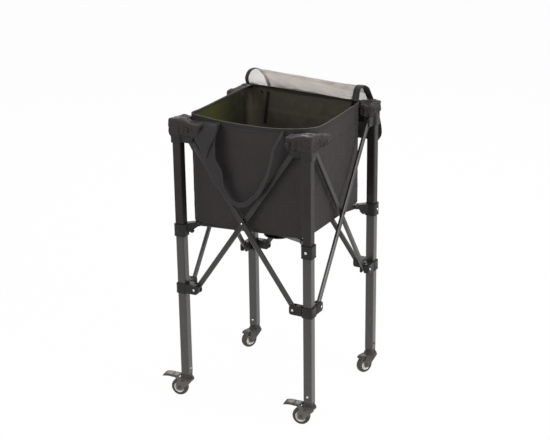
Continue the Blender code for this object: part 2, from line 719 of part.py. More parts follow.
def build_pedal(cart, corner, place, back, side):
    """A pressed brake pedal whose two ears turn on the fork's bosses."""
    ear_in = FORK_OUT + GAP
    ear_out = ear_in + PEDAL_SHEET
    plate = PEDAL_PLATE_HEIGHT
    start = max(RACE_RADIUS, HALF_LEG * math.sqrt(2)) + 4 * GAP
    line = [(start, plate), (PEDAL_REACH * 0.62, plate + 0.002), (PEDAL_REACH * 0.88, plate - 0.001)]
    line += [(PEDAL_REACH, plate - 0.0065)]
    under = [(a - 0.0004, b - PEDAL_SHEET) for a, b in reversed(line)]
    sheet = prism(line + under, -ear_out, ear_out, back, side, UP)
    pivot_back, pivot_height = PEDAL_PIVOT_BACK, PEDAL_PIVOT_HEIGHT
    ear = [(pivot_back - 0.005, pivot_height - 0.0045), (pivot_back + 0.005, pivot_height - 0.0045)]
    ear += [(PEDAL_REACH * 0.62, plate + 0.001), (start, plate - 0.0004), (start, plate - 0.004)]
    ear += [(pivot_back - 0.005, pivot_height + 0.005)]
    ears = [prism(ear, ear_in, ear_out, back, side, UP), prism(ear, -ear_out, -ear_in, back, side, UP)]
    join(sheet, *ears)
    pivot = back * pivot_back + UP * pivot_height
    cut(sheet, pin(pivot - side * 0.03, pivot + side * 0.03, PEDAL_PIVOT_RADIUS + RUNNING_GAP))
    sheet.data.transform(Matrix.Translation(place))
    cart.add(sheet, "brake_pedal_" + corner, "brake_pedal_" + corner, "pedal_grey")


def build_bag(cart):
    """Four plain panels, a floor that sags onto the arms, and a lip over the back edge."""
    half, inner = BAG_HALF, BAG_HALF - FABRIC
    front = block((-half, -half, BAG_BOTTOM), (half, -inner, BAG_RIM))
    cart.add(front, "bag_front_panel", "leg_front_left", "black_nylon")
    side = inner - GAP
    left = block((-half, -side, BAG_BOTTOM), (-inner, side, BAG_RIM))
    cart.add(left, "bag_left_panel", "leg_front_left", "black_nylon")
    right = block((inner, -side, BAG_BOTTOM), (half, side, BAG_RIM))
    cart.add(right, "bag_right_panel", "leg_front_right", "black_nylon")
    y, x = Vector((0, 1, 0)), Vector((1, 0, 0))
    lip = LID_FOLD.z - LID_FABRIC / 2
    hem = LID_HALF
    back = block((-half, inner, BAG_BOTTOM), (half, half, BAG_RIM))
    outline = [(half, BAG_RIM - FABRIC), (half, BAG_RIM + LID_FABRIC), (LID_FOLD.y + 4 * GAP, lip)]
    outline += [(LID_FOLD.y + 4 * GAP, lip - LID_FABRIC), (inner, BAG_RIM - LID_FABRIC)]
    join(back, prism(outline, -hem, hem, y, x, UP))
    cart.add(back, "bag_back_panel", "leg_back_left", "black_nylon")
    build_floor(cart)


def build_floor(cart):
    """The bag's floor, which slopes down along the four arms to a flat middle on the hub."""
    side = BAG_HALF - FABRIC - GAP
    arm_top = ARM_WIDTH / 2 / math.cos(ARM_SLOPE) + GAP
    under_edge = ARM_PIVOT_HEIGHT + (side * math.sqrt(2) - ARM_START) * math.tan(ARM_SLOPE) + arm_top
    under_middle = HUB_PIN_HEIGHT + HUB_EAR_RISE + GAP
    flat = side - (under_edge - under_middle) / math.tan(ARM_SLOPE) / math.sqrt(2)
    bm = bmesh.new()
    loops = []
    for half, height in ((flat, under_middle), (side, under_edge)):
        for z in (height, height + FLOOR_FABRIC):
            loops.append([bm.verts.new((a, b, z)) for a, b in rectangle(-half, half, -half, half)])
    flat_low, flat_high, edge_low, edge_high = loops
    bm.faces.new(list(reversed(flat_low)))
    bm.faces.new(flat_high)
    for here, there in ((flat_low, edge_low), (edge_low, edge_high), (edge_high, flat_high)):
        for i in range(4):
            j = (i + 1) % 4
            bm.faces.new((here[i], here[j], there[j], there[i]))
    cart.add(link("floor", bm), "bag_floor", "leg_front_left", "black_nylon")


def build_hoods(cart):
    """The bag's corner pockets, each a cap over a leg's top with a skirt along both faces."""
    for corner, place in CORNERS.items():
        along_x, along_y = towards(corner)

        def pocket(wall, low, high):
            out, inner = HOOD_OUT - wall, HOOD_IN - wall
            reach_x, reach_y = HOOD_REACH_X - wall, HOOD_REACH_Y - wall
            outline = [(-out, -out), (reach_x, -out), (reach_x, inner), (inner, inner)]
            outline += [(inner, reach_y), (-out, reach_y)]
            return prism(outline, low, high, along_x, UP, along_y)

        hollow = pocket(HOOD_WALL, HOOD_BOTTOM - 0.01, HOOD_TOP - HOOD_WALL)
        item = cut(pocket(0.0, HOOD_BOTTOM, HOOD_TOP), hollow)
        item.data.transform(Matrix.Translation(place))
        cart.add(item, "corner_hood_" + corner, "leg_" + corner, "black_nylon")


def ribbon(points, face, width, thickness):
    """A flat strap along a line of points, lying across the way that it faces."""
    bm = bmesh.new()
    loops = []
    for i, point in enumerate(points):
        before, after = points[max(i - 1, 0)], points[min(i + 1, len(points) - 1)]
        way = (after - before).normalized()
        side = way.cross(face).normalized()
        out = side.cross(way).normalized()
        across, through = side * width / 2, out * thickness / 2
        loops.append([bm.verts.new(point + across * a + through * b) for a, b in rectangle(-1, 1, -1, 1)])
    bm.faces.new(loops[0])
    bm.faces.new(list(reversed(loops[-1])))
    for here, there in zip(loops, loops[1:]):
        for i in range(4):
            j = (i + 1) % 4
            bm.faces.new((here[j], here[i], there[i], there[j]))
    return link("ribbon", bm)


def build_handles(cart):
    """A webbing handle on the front and back, sewn under the rim and hanging outside the braces."""
    for name, outward in (("front", Vector((0, -1, 0))), ("back", Vector((0, 1, 0)))):
        points = []
        steps = 24
        for i in range(steps + 1):
            share = 2.0 * i / steps - 1.0
            x = HANDLE_HALF * math.sin(share * math.pi / 2)
            fall = 1.0 - abs(math.sin(share * math.pi / 2)) ** 2.6
            z = HANDLE_TOP - HANDLE_DROP * fall
            ease = min(1.0, (HANDLE_TOP - z) / (HANDLE_DROP * 0.22))
            out = HANDLE_OUT + (HANDLE_HANG - HANDLE_OUT) * math.sin(ease * math.pi / 2)
            points.append(Vector((x, 0, z)) + outward * out)
        item = ribbon(points, outward, HANDLE_WIDTH, HANDLE_THICKNESS)
        cart.add(item, f"handle_{name}", f"handle_{name}", "black_webbing")


def sheet(points, half, thickness):
    """A bent sheet that reaches the same way to both sides of a line of (y, z) points."""
    path = [Vector((0.0, y, z)) for y, z in points]
    run = path[-1] - path[0]
    facing = UP if abs(run.y) > abs(run.z) else Vector((0, 1, 0))
    return ribbon(path, facing, 2 * half, thickness)


def build_lid(cart):
    """The mesh lid, thrown open: its root stands over the back lip and its flap hangs behind."""
    steps = 6
    for name, start, end in (("lid_root", LID_FOLD, LID_BEND), ("lid_flap", LID_BEND, LID_END)):
        run = (end - start).normalized()
        over = Vector((0.0, -run.z, run.y))
        first = start + run * GAP if name == "lid_flap" else start
        last = end - run * GAP if name == "lid_root" else end
        points = []
        for i in range(steps + 1):
            share = i / steps
            place = first.lerp(last, share) + over * LID_BULGE * math.sin(share * math.pi)
            points.append((place.y, place.z))
        cart.add(sheet(points, LID_HALF, LID_FABRIC), name, name, "grey_mesh")


def lay_out(cart):
    """Add every body, each with its place on its joint's axis, from the first leg outwards."""
    first = CORNERS["front_left"]
    cart.body("leg_front_left", first)
    chains = (("front", "leg_front_left", "leg_front_right"), ("left", "leg_front_left", "leg_back_left"),
              ("right", "leg_front_right", "leg_back_right"), ("back", "leg_back_left", None))
    for face, base, next_leg in chains:
        corner_a, corner_b = FACES[face][0], FACES[face][1]
        fall, rise = f"brace_{face}_fall", f"brace_{face}_rise"
        cart.body(fall, top_pin(face, corner_a), base)
        cart.body(rise, (top_pin(face, corner_a) + low_pin(face, corner_b)) / 2, fall)
        if next_leg:
            cart.body(next_leg, top_pin(face, corner_b), rise)
    cart.body("slider_front_left", low_pin("front", "front_left"), "brace_front_rise")
    cart.body("slider_front_right", low_pin("front", "front_right"), "brace_front_fall")
    cart.body("slider_back_left", low_pin("left", "back_left"), "brace_left_fall")
    cart.body("slider_back_right", low_pin("right", "back_right"), "brace_right_fall")
    for corner, place in CORNERS.items():
        pivot = place + inward(corner) * math.sqrt(2) * ARM_PIVOT_IN + UP * ARM_PIVOT_HEIGHT
        cart.body("floor_arm_" + corner, pivot, "leg_" + corner)
    hub_pin = -inward("front_left") * HUB_PIN_RADIUS_AT + UP * HUB_PIN_HEIGHT
    cart.body("floor_hub", hub_pin, "floor_arm_front_left")
    cart.body("handle_front", Vector((0.0, -HANDLE_OUT, HANDLE_TOP)), "leg_front_left")
    cart.body("handle_back", Vector((0.0, HANDLE_OUT, HANDLE_TOP)), "leg_back_left")
    cart.body("lid_root", LID_FOLD, "leg_back_left")
    cart.body("lid_flap", LID_BEND, "lid_root")
    for corner, place in CORNERS.items():
        cart.body("caster_" + corner, place + UP * CROWN_HIGH, "leg_" + corner)
        back = Vector((math.cos(HEADINGS[corner]), math.sin(HEADINGS[corner]), 0.0))
        cart.body("wheel_" + corner, place + back * TRAIL + UP * WHEEL_RADIUS, "caster_" + corner)
        if corner.startswith("front"):
            pivot = place + back * PEDAL_PIVOT_BACK + UP * PEDAL_PIVOT_HEIGHT
            cart.body("brake_pedal_" + corner, pivot, "caster_" + corner)


def centre(cart):
    """Move the whole cart so that the middle of its outline stands on the origin."""
    bpy.context.view_layer.update()
    points = []
    for item in bpy.data.objects:
        if item.type == "MESH":
            points += [item.matrix_world @ vert.co for vert in item.data.vertices]
    shift = []
    for k in range(2):
        values = [point[k] for point in points]
        shift.append(-(min(values) + max(values)) / 2)
    root = bpy.data.objects.new("cart", None)
    bpy.context.scene.collection.objects.link(root)
    root.location = (shift[0], shift[1], -min(point[2] for point in points))
    cart.empties["leg_front_left"].parent = root
    bpy.context.view_layer.update()


def main():
    """Build the whole cart."""
    clear_scene()
    cart = Cart()
    lay_out(cart)
    build_legs(cart)
    build_brackets(cart)
    build_braces(cart)
    build_collars(cart)
    build_floor_arms(cart)
    for corner in CORNERS:
        build_caster(cart, corner)
    build_bag(cart)
    build_hoods(cart)
    build_handles(cart)
    build_lid(cart)
    centre(cart)
    return cart


if __name__ == "__main__":
    main()
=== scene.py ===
"""The looks of a folding tennis ball cart.

Four square legs on casters carry a scissor brace on each side and a hung nylon bag with a net lid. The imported
model is the fixed frame. Its tubes keep their own meshes under a painted finish, and the mouldings, casters and
cloth are drawn here as finer pieces that ride on the same bodies.
"""

from __future__ import annotations

import logging
import math
from collections.abc import Callable, Iterable, Sequence
from dataclasses import dataclass, field
from enum import Enum

import bmesh
import bpy
from mathutils import Matrix, Vector, noise


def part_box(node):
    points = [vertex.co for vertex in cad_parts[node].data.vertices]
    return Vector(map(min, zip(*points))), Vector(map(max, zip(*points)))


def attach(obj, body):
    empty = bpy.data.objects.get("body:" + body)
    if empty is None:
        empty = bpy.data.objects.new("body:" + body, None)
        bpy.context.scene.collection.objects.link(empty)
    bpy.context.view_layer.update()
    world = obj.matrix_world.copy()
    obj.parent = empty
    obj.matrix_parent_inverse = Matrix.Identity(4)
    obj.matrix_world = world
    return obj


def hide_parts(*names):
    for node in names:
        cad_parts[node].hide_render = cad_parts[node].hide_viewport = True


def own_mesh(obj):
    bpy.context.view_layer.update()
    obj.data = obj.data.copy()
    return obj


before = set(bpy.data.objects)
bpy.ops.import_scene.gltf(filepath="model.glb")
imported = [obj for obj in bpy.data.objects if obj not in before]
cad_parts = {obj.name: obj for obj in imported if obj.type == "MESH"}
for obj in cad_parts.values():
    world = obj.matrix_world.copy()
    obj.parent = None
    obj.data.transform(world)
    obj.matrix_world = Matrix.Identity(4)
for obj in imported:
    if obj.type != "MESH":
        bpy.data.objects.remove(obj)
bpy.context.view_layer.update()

log = logging.getLogger("ball_cart")

Outline = list[tuple[float, float]]
Grid = tuple[list[list[Vector]], list[Outline]]
Colour = tuple[float, float, float, float]
Thing = bpy.types.Object
Material = bpy.types.Material
Node = bpy.types.Node
Socket = bpy.types.NodeSocket
Tree = bpy.types.NodeTree

X = Vector((1.0, 0.0, 0.0))
Y = Vector((0.0, 1.0, 0.0))
UP = Vector((0.0, 0.0, 1.0))
SIDES = (-1, 1)
PAST = 0.01
"""How far a cutter reaches past the solid that it cuts."""
CRISP = 38.0
"""Moulded edges sharper than this many degrees stay crisp."""
CLOTH = 60.0
"""The same for cloth and webbing."""


class Slot(Enum):
    """The record's material slots."""

    MOULDING = "black_moulding"
    STEEL = "dark_steel"
    PEDAL = "pedal_grey"
    TYRE = "tyre_grey"
    HUB = "white_hub"
    NYLON = "black_nylon"
    WEBBING = "black_webbing"
    NET = "grey_mesh"


# ---- Sizes and places ----


@dataclass(frozen=True)
class CartSizes:
    """The model's own sizes in metres, repeated here because the pieces are drawn to them."""

    leg_spacing: float = 0.375
    leg_side: float = 0.024
    leg_corner: float = 0.003
    leg_bottom: float = 0.068
    leg_top: float = 0.7812
    gap: float = 0.0003
    slide_gap: float = 0.0004
    slot_gap: float = 0.0006
    sleeve_wall: float = 0.0032
    cap_thickness: float = 0.003
    pin_in: float = 0.040
    top_pin_height: float = 0.738
    low_pin_height: float = 0.322
    brace_width: float = 0.014
    brace_thickness: float = 0.008
    brace_gap: float = 0.0008
    cheek: float = 0.0026
    folded_spacing: float = 0.160
    arm_pivot_in: float = 0.0325
    arm_pivot_height: float = 0.4945
    arm_slope: float = math.radians(13.5)
    arm_width: float = 0.012
    arm_thickness: float = 0.008
    bag_half: float = 0.165
    bag_rim: float = 0.789
    bag_bottom: float = 0.5045

    @property
    def half(self) -> float:
        """Half the leg spacing."""
        return self.leg_spacing / 2

    @property
    def sleeve_in(self) -> float:
        """Half the width of a sleeve's hollow."""
        return self.leg_side / 2 + self.slide_gap

    @property
    def sleeve_out(self) -> float:
        """Half the width of a sleeve."""
        return self.sleeve_in + self.sleeve_wall

    @property
    def layer(self) -> float:
        """How far a brace stands off its face's middle plane."""
        return (self.brace_thickness + self.brace_gap) / 2

    @property
    def slot(self) -> float:
        """The width of the slot that takes a brace's end."""
        return self.brace_thickness + 2 * self.slot_gap

    @property
    def clevis(self) -> float:
        """The width of a forked arm."""
        return self.slot + 2 * self.cheek

    @property
    def cap_top(self) -> float:
        """The height of the top bracket's roof."""
        return self.leg_top + self.gap + self.cap_thickness

    @property
    def arm_pivot_reach(self) -> float:
        """How far in from its leg's middle line a floor arm's pin is, along the level way to the middle."""
        return math.sqrt(2) * self.arm_pivot_in

    @property
    def fold_keep(self) -> float:
        """The share of the bag's width that is left when the cart is folded."""
        inset = self.leg_spacing - 2 * self.bag_half
        return (self.folded_spacing - inset) / (2 * self.bag_half)


SIZES = CartSizes()


class Corner(Enum):
    """The four legs."""

    FRONT_LEFT = "front_left"
    FRONT_RIGHT = "front_right"
    BACK_LEFT = "back_left"
    BACK_RIGHT = "back_right"

    @property
    def signs(self) -> tuple[float, float]:
        """Which side of the middle the leg is on, along X and along Y."""
        return (-1.0 if "left" in self.value else 1.0, -1.0 if "front" in self.value else 1.0)

    @property
    def place(self) -> Vector:
        """The leg's middle line, from the middle of the four legs."""
        sx, sy = self.signs
        return Vector((sx * SIZES.half, sy * SIZES.half, 0.0))

    @property
    def inward_ways(self) -> tuple[Vector, Vector]:
        """The two ways along the faces to the neighbouring legs."""
        sx, sy = self.signs
        return Vector((-sx, 0.0, 0.0)), Vector((0.0, -sy, 0.0))

    @property
    def inward(self) -> Vector:
        """The level way to the middle of the cart."""
        first, second = self.inward_ways
        return (first + second).normalized()

    @property
    def arms(self) -> tuple[tuple[Vector, Vector], tuple[Vector, Vector]]:
        """For each of the leg's two faces, the way along it from the leg and the way that it looks."""
        along_x, along_y = self.inward_ways
        return (along_x, -along_y), (along_y, -along_x)

    @property
    def arm_pivot(self) -> Vector:
        """The middle of the floor arm's pin."""
        return self.place + self.inward * SIZES.arm_pivot_reach + UP * SIZES.arm_pivot_height

    @property
    def stand_off(self) -> float:
        """How far the braces on this leg's top bracket stand off their faces' middle planes."""
        return SIZES.layer if self in (Corner.FRONT_LEFT, Corner.BACK_RIGHT) else -SIZES.layer

    @property
    def leg(self) -> str:
        """The body of this leg."""
        return "leg_" + self.value

    @property
    def heading(self) -> float:
        """The way that this leg's caster trails."""
        return math.radians(188.0 if self.value.startswith("front") else 246.0)

    @property
    def braked(self) -> bool:
        """Whether this leg's caster has a brake pedal."""
        return self.value.startswith("front")


class Face(Enum):
    """The four upright faces of the cart."""

    FRONT = "front"
    LEFT = "left"
    RIGHT = "right"
    BACK = "back"

    @property
    def outward(self) -> Vector:
        """The way that the face looks."""
        ways = {"front": -Y, "left": -X, "right": X, "back": Y}
        return ways[self.value].copy()

    @property
    def along(self) -> Vector:
        """The level way along the face, towards growing X or Y."""
        return X.copy() if self.value in ("front", "back") else Y.copy()

    @property
    def ends(self) -> tuple[Corner, Corner]:
        """The legs at the face's two ends."""
        pairs = {
            "front": (Corner.FRONT_LEFT, Corner.FRONT_RIGHT),
            "left": (Corner.FRONT_LEFT, Corner.BACK_LEFT),
            "right": (Corner.FRONT_RIGHT, Corner.BACK_RIGHT),
            "back": (Corner.BACK_LEFT, Corner.BACK_RIGHT),
        }
        return pairs[self.value]

    @property
    def cloth_body(self) -> str:
        """The leg that carries this face of the bag."""
        bodies = {"front": "leg_front_left", "left": "leg_front_left", "right": "leg_front_right"}
        return bodies.get(self.value, "leg_back_left")

    @property
    def outer_top(self) -> Corner:
        """The leg whose top pin holds the outer brace."""
        return Corner.FRONT_LEFT if self.value in ("front", "left") else Corner.BACK_RIGHT


def legs_middle() -> Vector:
    """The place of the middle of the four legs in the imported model.

    Returns:
        The offset that every piece is moved by, level with the floor.
    """
    total = Vector((0.0, 0.0, 0.0))
    for corner in Corner:
        low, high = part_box("leg_" + corner.value)
        total += (low + high) / 8
    return Vector((total.x, total.y, 0.0))


MIDDLE = legs_middle()


# ---- Node trees and shared shader groups ----


class NodeSheet:
    """Places and joins nodes in one tree."""

    def __init__(self, tree: Tree) -> None:
        """Work in this tree."""
        self.tree = tree

    def node(self, kind: str, **settings: object) -> Node:
        """Add one node.

        Args:
            kind: The node's type name.
            settings: Attributes to set on it.

        Returns:
            The new node.
        """
        row, column = divmod(len(self.tree.nodes), 8)
        made = self.tree.nodes.new(kind)
        made.location = (190.0 * column, -240.0 * row)
        for name, value in settings.items():
            setattr(made, name, value)
        return made

    def feed(self, socket: Socket, value: object) -> None:
        """Join an output to a socket, or give the socket a plain value.

        Args:
            socket: The input.
            value: An output, or a plain value.
        """
        if isinstance(value, Socket):
            self.tree.links.new(value, socket)
        else:
            socket.default_value = value

    def wire(self, node: Node, **values: object) -> Node:
        """Feed a node's inputs by name, with underscores for spaces, and give the node back.

        Args:
            node: The node.
            values: What each input gets.

        Returns:
            The node.
        """
        for label, value in values.items():
            self.feed(node.inputs[label.replace("_", " ")], value)
        return node

    def maths(self, operation: str, first: object, second: object = 0.0, clamp: bool = False) -> Socket:
        """One Math node.

        Args:
            operation: The Math node's operation.
            first: Its first value.
            second: Its second value.
            clamp: Whether the result stays from 0 to 1.

        Returns:
            The result.
        """
        made = self.node("ShaderNodeMath", operation=operation, use_clamp=clamp)
        self.feed(made.inputs[0], first)
        self.feed(made.inputs[1], second)
        return made.outputs[0]

    def times(self, first: object, second: object) -> Socket:
        """One value times another."""
        return self.maths("MULTIPLY", first, second)

    def step(self, value: object, low: float, high: float, to_low: float = 0.0, to_high: float = 1.0) -> Socket:
        """A smooth step from to_low to to_high while the value goes from low to high.

        Args:
            value: What is read.
            low: Where the step starts.
            high: Where it ends.
            to_low: The result up to the start.
            to_high: The result from the end on.

        Returns:
            The result.
        """
        made = self.node("ShaderNodeMapRange", interpolation_type="SMOOTHSTEP")
        for index, number in enumerate((value, low, high, to_low, to_high)):
            self.feed(made.inputs[index], number)
        return made.outputs[0]

    def noise(self, vector: object, scale: float, detail: float, roughness: float) -> Socket:
        """Soft noise from 0 to 1, with this many lumps in a metre, this many finer layers and their strength."""
        made = self.node("ShaderNodeTexNoise")
        return self.wire(made, Vector=vector, Scale=scale, Detail=detail, Roughness=roughness).outputs["Fac"]

    def blend(self, share: object, first: object, second: object) -> Socket:
        """A colour that goes from the first to the second with the share.

        Args:
            share: How much of the second colour there is.
            first: The first colour.
            second: The second colour.

        Returns:
            The colour.
        """
        made = self.node("ShaderNodeMix", data_type="RGBA")
        for index, value in ((0, share), (6, first), (7, second)):
            self.feed(made.inputs[index], value)
        return made.outputs[2]

    def split(self, vector: object) -> Sequence[Socket]:
        """A vector's three parts."""
        return self.wire(self.node("ShaderNodeSeparateXYZ"), Vector=vector).outputs

    def place(self, centre: Vector | None = None, turn: Matrix | None = None) -> Socket:
        """Object coordinates, or a piece's own axes.

        Args:
            centre: The piece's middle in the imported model's frame.
            turn: A rotation whose columns are the piece's own axes.

        Returns:
            The place as a vector.
        """
        source = self.node("ShaderNodeTexCoord").outputs["Object"]
        if centre is None:
            return source
        back = turn.transposed() if turn else Matrix.Identity(3)
        mapping = self.node("ShaderNodeMapping", vector_type="POINT")
        return self.wire(mapping, Vector=source, Rotation=back.to_euler("XYZ"), Location=-(back @ centre)).outputs[0]


class GroupSheet(NodeSheet):
    """A shader node group that reads a vector."""

    def __init__(self, name: str, results: Sequence[str], **inputs: float) -> None:
        """Start the group.

        Args:
            name: The group's name.
            results: The names of its outputs.
            inputs: The first value of each input after the vector, with underscores for spaces.
        """
        super().__init__(bpy.data.node_groups.new(name, "ShaderNodeTree"))
        face = self.tree.interface
        face.new_socket(name="Vector", in_out="INPUT", socket_type="NodeSocketVector")
        for label, value in inputs.items():
            socket = face.new_socket(name=label.replace("_", " "), in_out="INPUT", socket_type="NodeSocketFloat")
            socket.default_value = value
        for label in results:
            face.new_socket(name=label, in_out="OUTPUT", socket_type="NodeSocketFloat")
        self.given = self.node("NodeGroupInput").outputs
        self.taken = self.node("NodeGroupOutput")

    def end(self, **results: Socket) -> Tree:
        """Feed the group's outputs by name and give its tree."""
        self.wire(self.taken, **results)
        return self.tree


class Effects:
    """The shader node groups that several finishes share, each made once."""

    def __init__(self) -> None:
        """Build every group."""
        self.grain = self.build_grain()
        self.edge = self.build_edge()
        self.streaks = self.build_streaks()
        self.dust = self.build_dust()
        self.weave = self.build_weave()

    def build_grain(self) -> Tree:
        """Fine lumps for sprayed paint and moulded plastic.

        Returns:
            A group with a height and a slow change of tone.
        """
        sheet = GroupSheet("moulded grain", ("Height", "Tone"), Scale=1.0, Coarse=0.35)
        given = sheet.given
        scaled = sheet.node("ShaderNodeVectorMath", operation="SCALE")
        sheet.wire(scaled, Vector=given["Vector"], Scale=given["Scale"])
        fine = sheet.noise(scaled.outputs[0], 1400.0, 3.0, 0.6)
        wide = sheet.noise(scaled.outputs[0], 260.0, 2.0, 0.5)
        height = sheet.maths("ADD", fine, sheet.times(wide, given["Coarse"]))
        return sheet.end(Height=height, Tone=sheet.noise(given["Vector"], 22.0, 3.0, 0.55))

    def build_edge(self) -> Tree:
        """Paint rubbed thin along the long edges of a square or flat tube.

        Returns:
            A group with the wear as a mask.
        """
        sheet = GroupSheet("rubbed tube edge", ("Wear",), Half_Width=0.012, Half_Depth=0.012, Reach=0.0025)
        given = sheet.given
        parts = sheet.split(given["Vector"])
        wide, deep = (sheet.maths("SUBTRACT", given[label], sheet.maths("ABSOLUTE", parts[index]))
                      for index, label in enumerate(("Half Width", "Half Depth")))
        away = sheet.maths("DIVIDE", sheet.maths("ADD", wide, deep), given["Reach"])
        near = sheet.maths("SUBTRACT", 1.0, away, clamp=True)
        patchy = sheet.step(sheet.noise(given["Vector"], 95.0, 4.0, 0.7), 0.46, 0.68)
        return sheet.end(Wear=sheet.maths("MULTIPLY", near, patchy, clamp=True))

    def build_streaks(self) -> Tree:
        """Fine scratches that run along a tube's own Z.

        Returns:
            A group with the scratches as a mask.
        """
        sheet = GroupSheet("long scratches", ("Scratch",), Amount=0.5)
        given = sheet.given
        drawn_out = sheet.wire(sheet.node("ShaderNodeMapping"), Vector=given["Vector"], Scale=(1.0, 1.0, 0.035))
        thin = sheet.step(sheet.noise(drawn_out.outputs[0], 900.0, 2.0, 0.5), 0.66, 0.74)
        broken = sheet.step(sheet.noise(given["Vector"], 14.0, 2.0, 0.5), 0.42, 0.62)
        return sheet.end(Scratch=sheet.times(sheet.times(thin, broken), given["Amount"]))

    def build_dust(self) -> Tree:
        """Dust from the court, thickest near the floor.

        Returns:
            A group with the dust as a mask.
        """
        sheet = GroupSheet("court dust", ("Dust",), Reach=0.12, Amount=0.5)
        given = sheet.given
        rise = sheet.maths("DIVIDE", sheet.split(given["Vector"])[2], given["Reach"])
        low = sheet.maths("SUBTRACT", 1.0, rise, clamp=True)
        patchy = sheet.noise(given["Vector"], 60.0, 4.0, 0.65)
        return sheet.end(Dust=sheet.times(sheet.times(low, patchy), given["Amount"]))

    def build_weave(self) -> Tree:
        """A plain weave on a map in metres.

        Returns:
            A group with the threads' height and an uneven tone.
        """
        sheet = GroupSheet("plain weave", ("Height", "Tone"), Across=1400.0, Along=1400.0)
        given = sheet.given
        parts = sheet.split(given["Vector"])
        waves = []
        for index, label in enumerate(("Across", "Along")):
            turn = sheet.times(sheet.times(parts[index], given[label]), math.pi)
            waves.append(sheet.maths("SINE", turn))
        threads = sheet.maths("ADD", sheet.times(sheet.times(*waves), 0.5), 0.5)
        slub = sheet.noise(given["Vector"], 420.0, 2.0, 0.6)
        height = sheet.maths("ADD", threads, sheet.times(slub, 0.6))
        return sheet.end(Height=height, Tone=sheet.noise(given["Vector"], 9.0, 3.0, 0.5))


EFFECTS = Effects()


# ---- Finishes ----


def rgb(red: float, green: float, blue: float) -> Colour:
    """A colour with full alpha."""
    return (red, green, blue, 1.0)


def tint(colour: Colour, share: float, lift: float = 0.0) -> Colour:
    """A darker or lighter shade of a colour."""
    return rgb(*(min(1.0, part * share + lift) for part in colour[:3]))


COURT_DUST = rgb(0.30, 0.27, 0.23)


class Look(NodeSheet):
    """A material's tree with its Principled shader."""

    def __init__(self, name: str) -> None:
        """Start a material.

        Args:
            name: The material's name.
        """
        self.material = bpy.data.materials.new(name)
        self.material.use_nodes = True
        super().__init__(self.material.node_tree)
        self.shader = self.tree.nodes["Principled BSDF"]

    def set(self, **values: object) -> None:
        """Feed the shader's inputs by name, with underscores for spaces."""
        self.wire(self.shader, **values)

    def effect(self, tree: Tree, **values: object) -> Sequence[Socket]:
        """Place a shared group, feed its inputs by name and give its outputs."""
        return self.wire(self.node("ShaderNodeGroup", node_tree=tree), **values).outputs

    def patches(self, vector: object, scale: float, detail: float, roughness: float, low: float,
                high: float) -> Socket:
        """Noise that is cut to uneven patches between a low and a high level."""
        return self.step(self.noise(vector, scale, detail, roughness), low, high)

    def cloth_place(self) -> Socket:
        """The cloth's own map, in metres along its width and length."""
        return self.node("ShaderNodeUVMap", uv_map="cloth").outputs["UV"]

    def bump(self, height: object, depth: float, strength: float) -> None:
        """Turn a height into the shader's normal: how deep a height of 1 is, and how much of it shows."""
        bump = self.wire(self.node("ShaderNodeBump"), Strength=strength, Distance=depth, Height=height)
        self.set(Normal=bump.outputs["Normal"])


@dataclass(frozen=True)
class Finish:
    """The recipe of one material. Each kind of finish lays its own nodes."""

    def build(self, name: str, **layout: object) -> Material:
        """Mix the material.

        Args:
            name: The material's name.
            layout: What the recipe asks for besides the name.

        Returns:
            The material.
        """
        look = Look(name)
        self.lay(look, **layout)
        return look.material

    def lay(self, look: Look) -> None:
        """Lay the finish's nodes in a new material."""
        raise NotImplementedError


@dataclass(frozen=True)
class TubePaint(Finish):
    """Charcoal satin paint on a straight tube, rubbed along its edges and paler towards the floor, partly from court
    dust and partly as painted floor light.
    """

    colour: Colour = rgb(0.0150, 0.0132, 0.0122)
    bare: Colour = rgb(0.24, 0.225, 0.21)
    dust_colour: Colour = rgb(0.33, 0.30, 0.265)
    roughness: float = 0.38
    specular: float = 0.16
    # How high and how strongly the paint turns paler towards the floor: court dust, and partly painted light bounced up
    # from the floor.
    dust_and_floor_light_reach: float = 0.62
    dust_and_floor_light_amount: float = 0.12
    polish_from: float = 0.47
    polish_roughness: float = 0.30

    def lay(self, look: Look, centre: Vector, turn: Matrix | None, half: tuple[float, float], scratches: float,
            rubbed: float, polish: tuple[float, float]) -> None:
        """Lay the paint out along one tube.

        Args:
            look: The new material.
            centre: A point on the tube's middle line.
            turn: A rotation whose third column runs along the tube.
            half: Half the tube's size along its own X and Y.
            scratches: How scratched it is.
            rubbed: How much of the bare metal shows where it is worn.
            polish: How glossy the tube is above and below the middle collars, where hands and sliding
                brackets rub it.
        """
        own, room = look.place(centre, turn), look.place()
        grain = look.effect(EFFECTS.grain, Vector=own, Scale=0.8, Coarse=0.6)
        edge = look.effect(EFFECTS.edge, Vector=own, Half_Width=half[0], Half_Depth=half[1])
        lines = look.effect(EFFECTS.streaks, Vector=own, Amount=scratches)
        # The pale dust towards the floor is partly painted floor light that brightens the lower tubes.
        dust = look.effect(EFFECTS.dust, Vector=room, Reach=self.dust_and_floor_light_reach, Amount=self.dust_and_floor_light_amount)["Dust"]
        tone = look.blend(grain["Tone"], tint(self.colour, 0.80), tint(self.colour, 1.18))
        worn = look.times(look.maths("ADD", edge["Wear"], lines["Scratch"], clamp=True), rubbed)
        rough = look.step(grain["Tone"], 0.25, 0.75, self.roughness - 0.04, self.roughness + 0.06)
        look.set(
            Base_Color=look.blend(dust, look.blend(worn, tone, self.bare), self.dust_colour),
            Roughness=look.maths("ADD", rough, look.times(dust, 0.3), clamp=True),
            Metallic=worn,
            Specular_IOR_Level=self.specular,
            Coat_Weight=look.step(look.split(room)[2], self.polish_from - 0.02, self.polish_from + 0.03,
                                  polish[1], polish[0]),
            Coat_Roughness=self.polish_roughness,
        )
        look.bump(grain["Height"], 0.00005, 0.55)


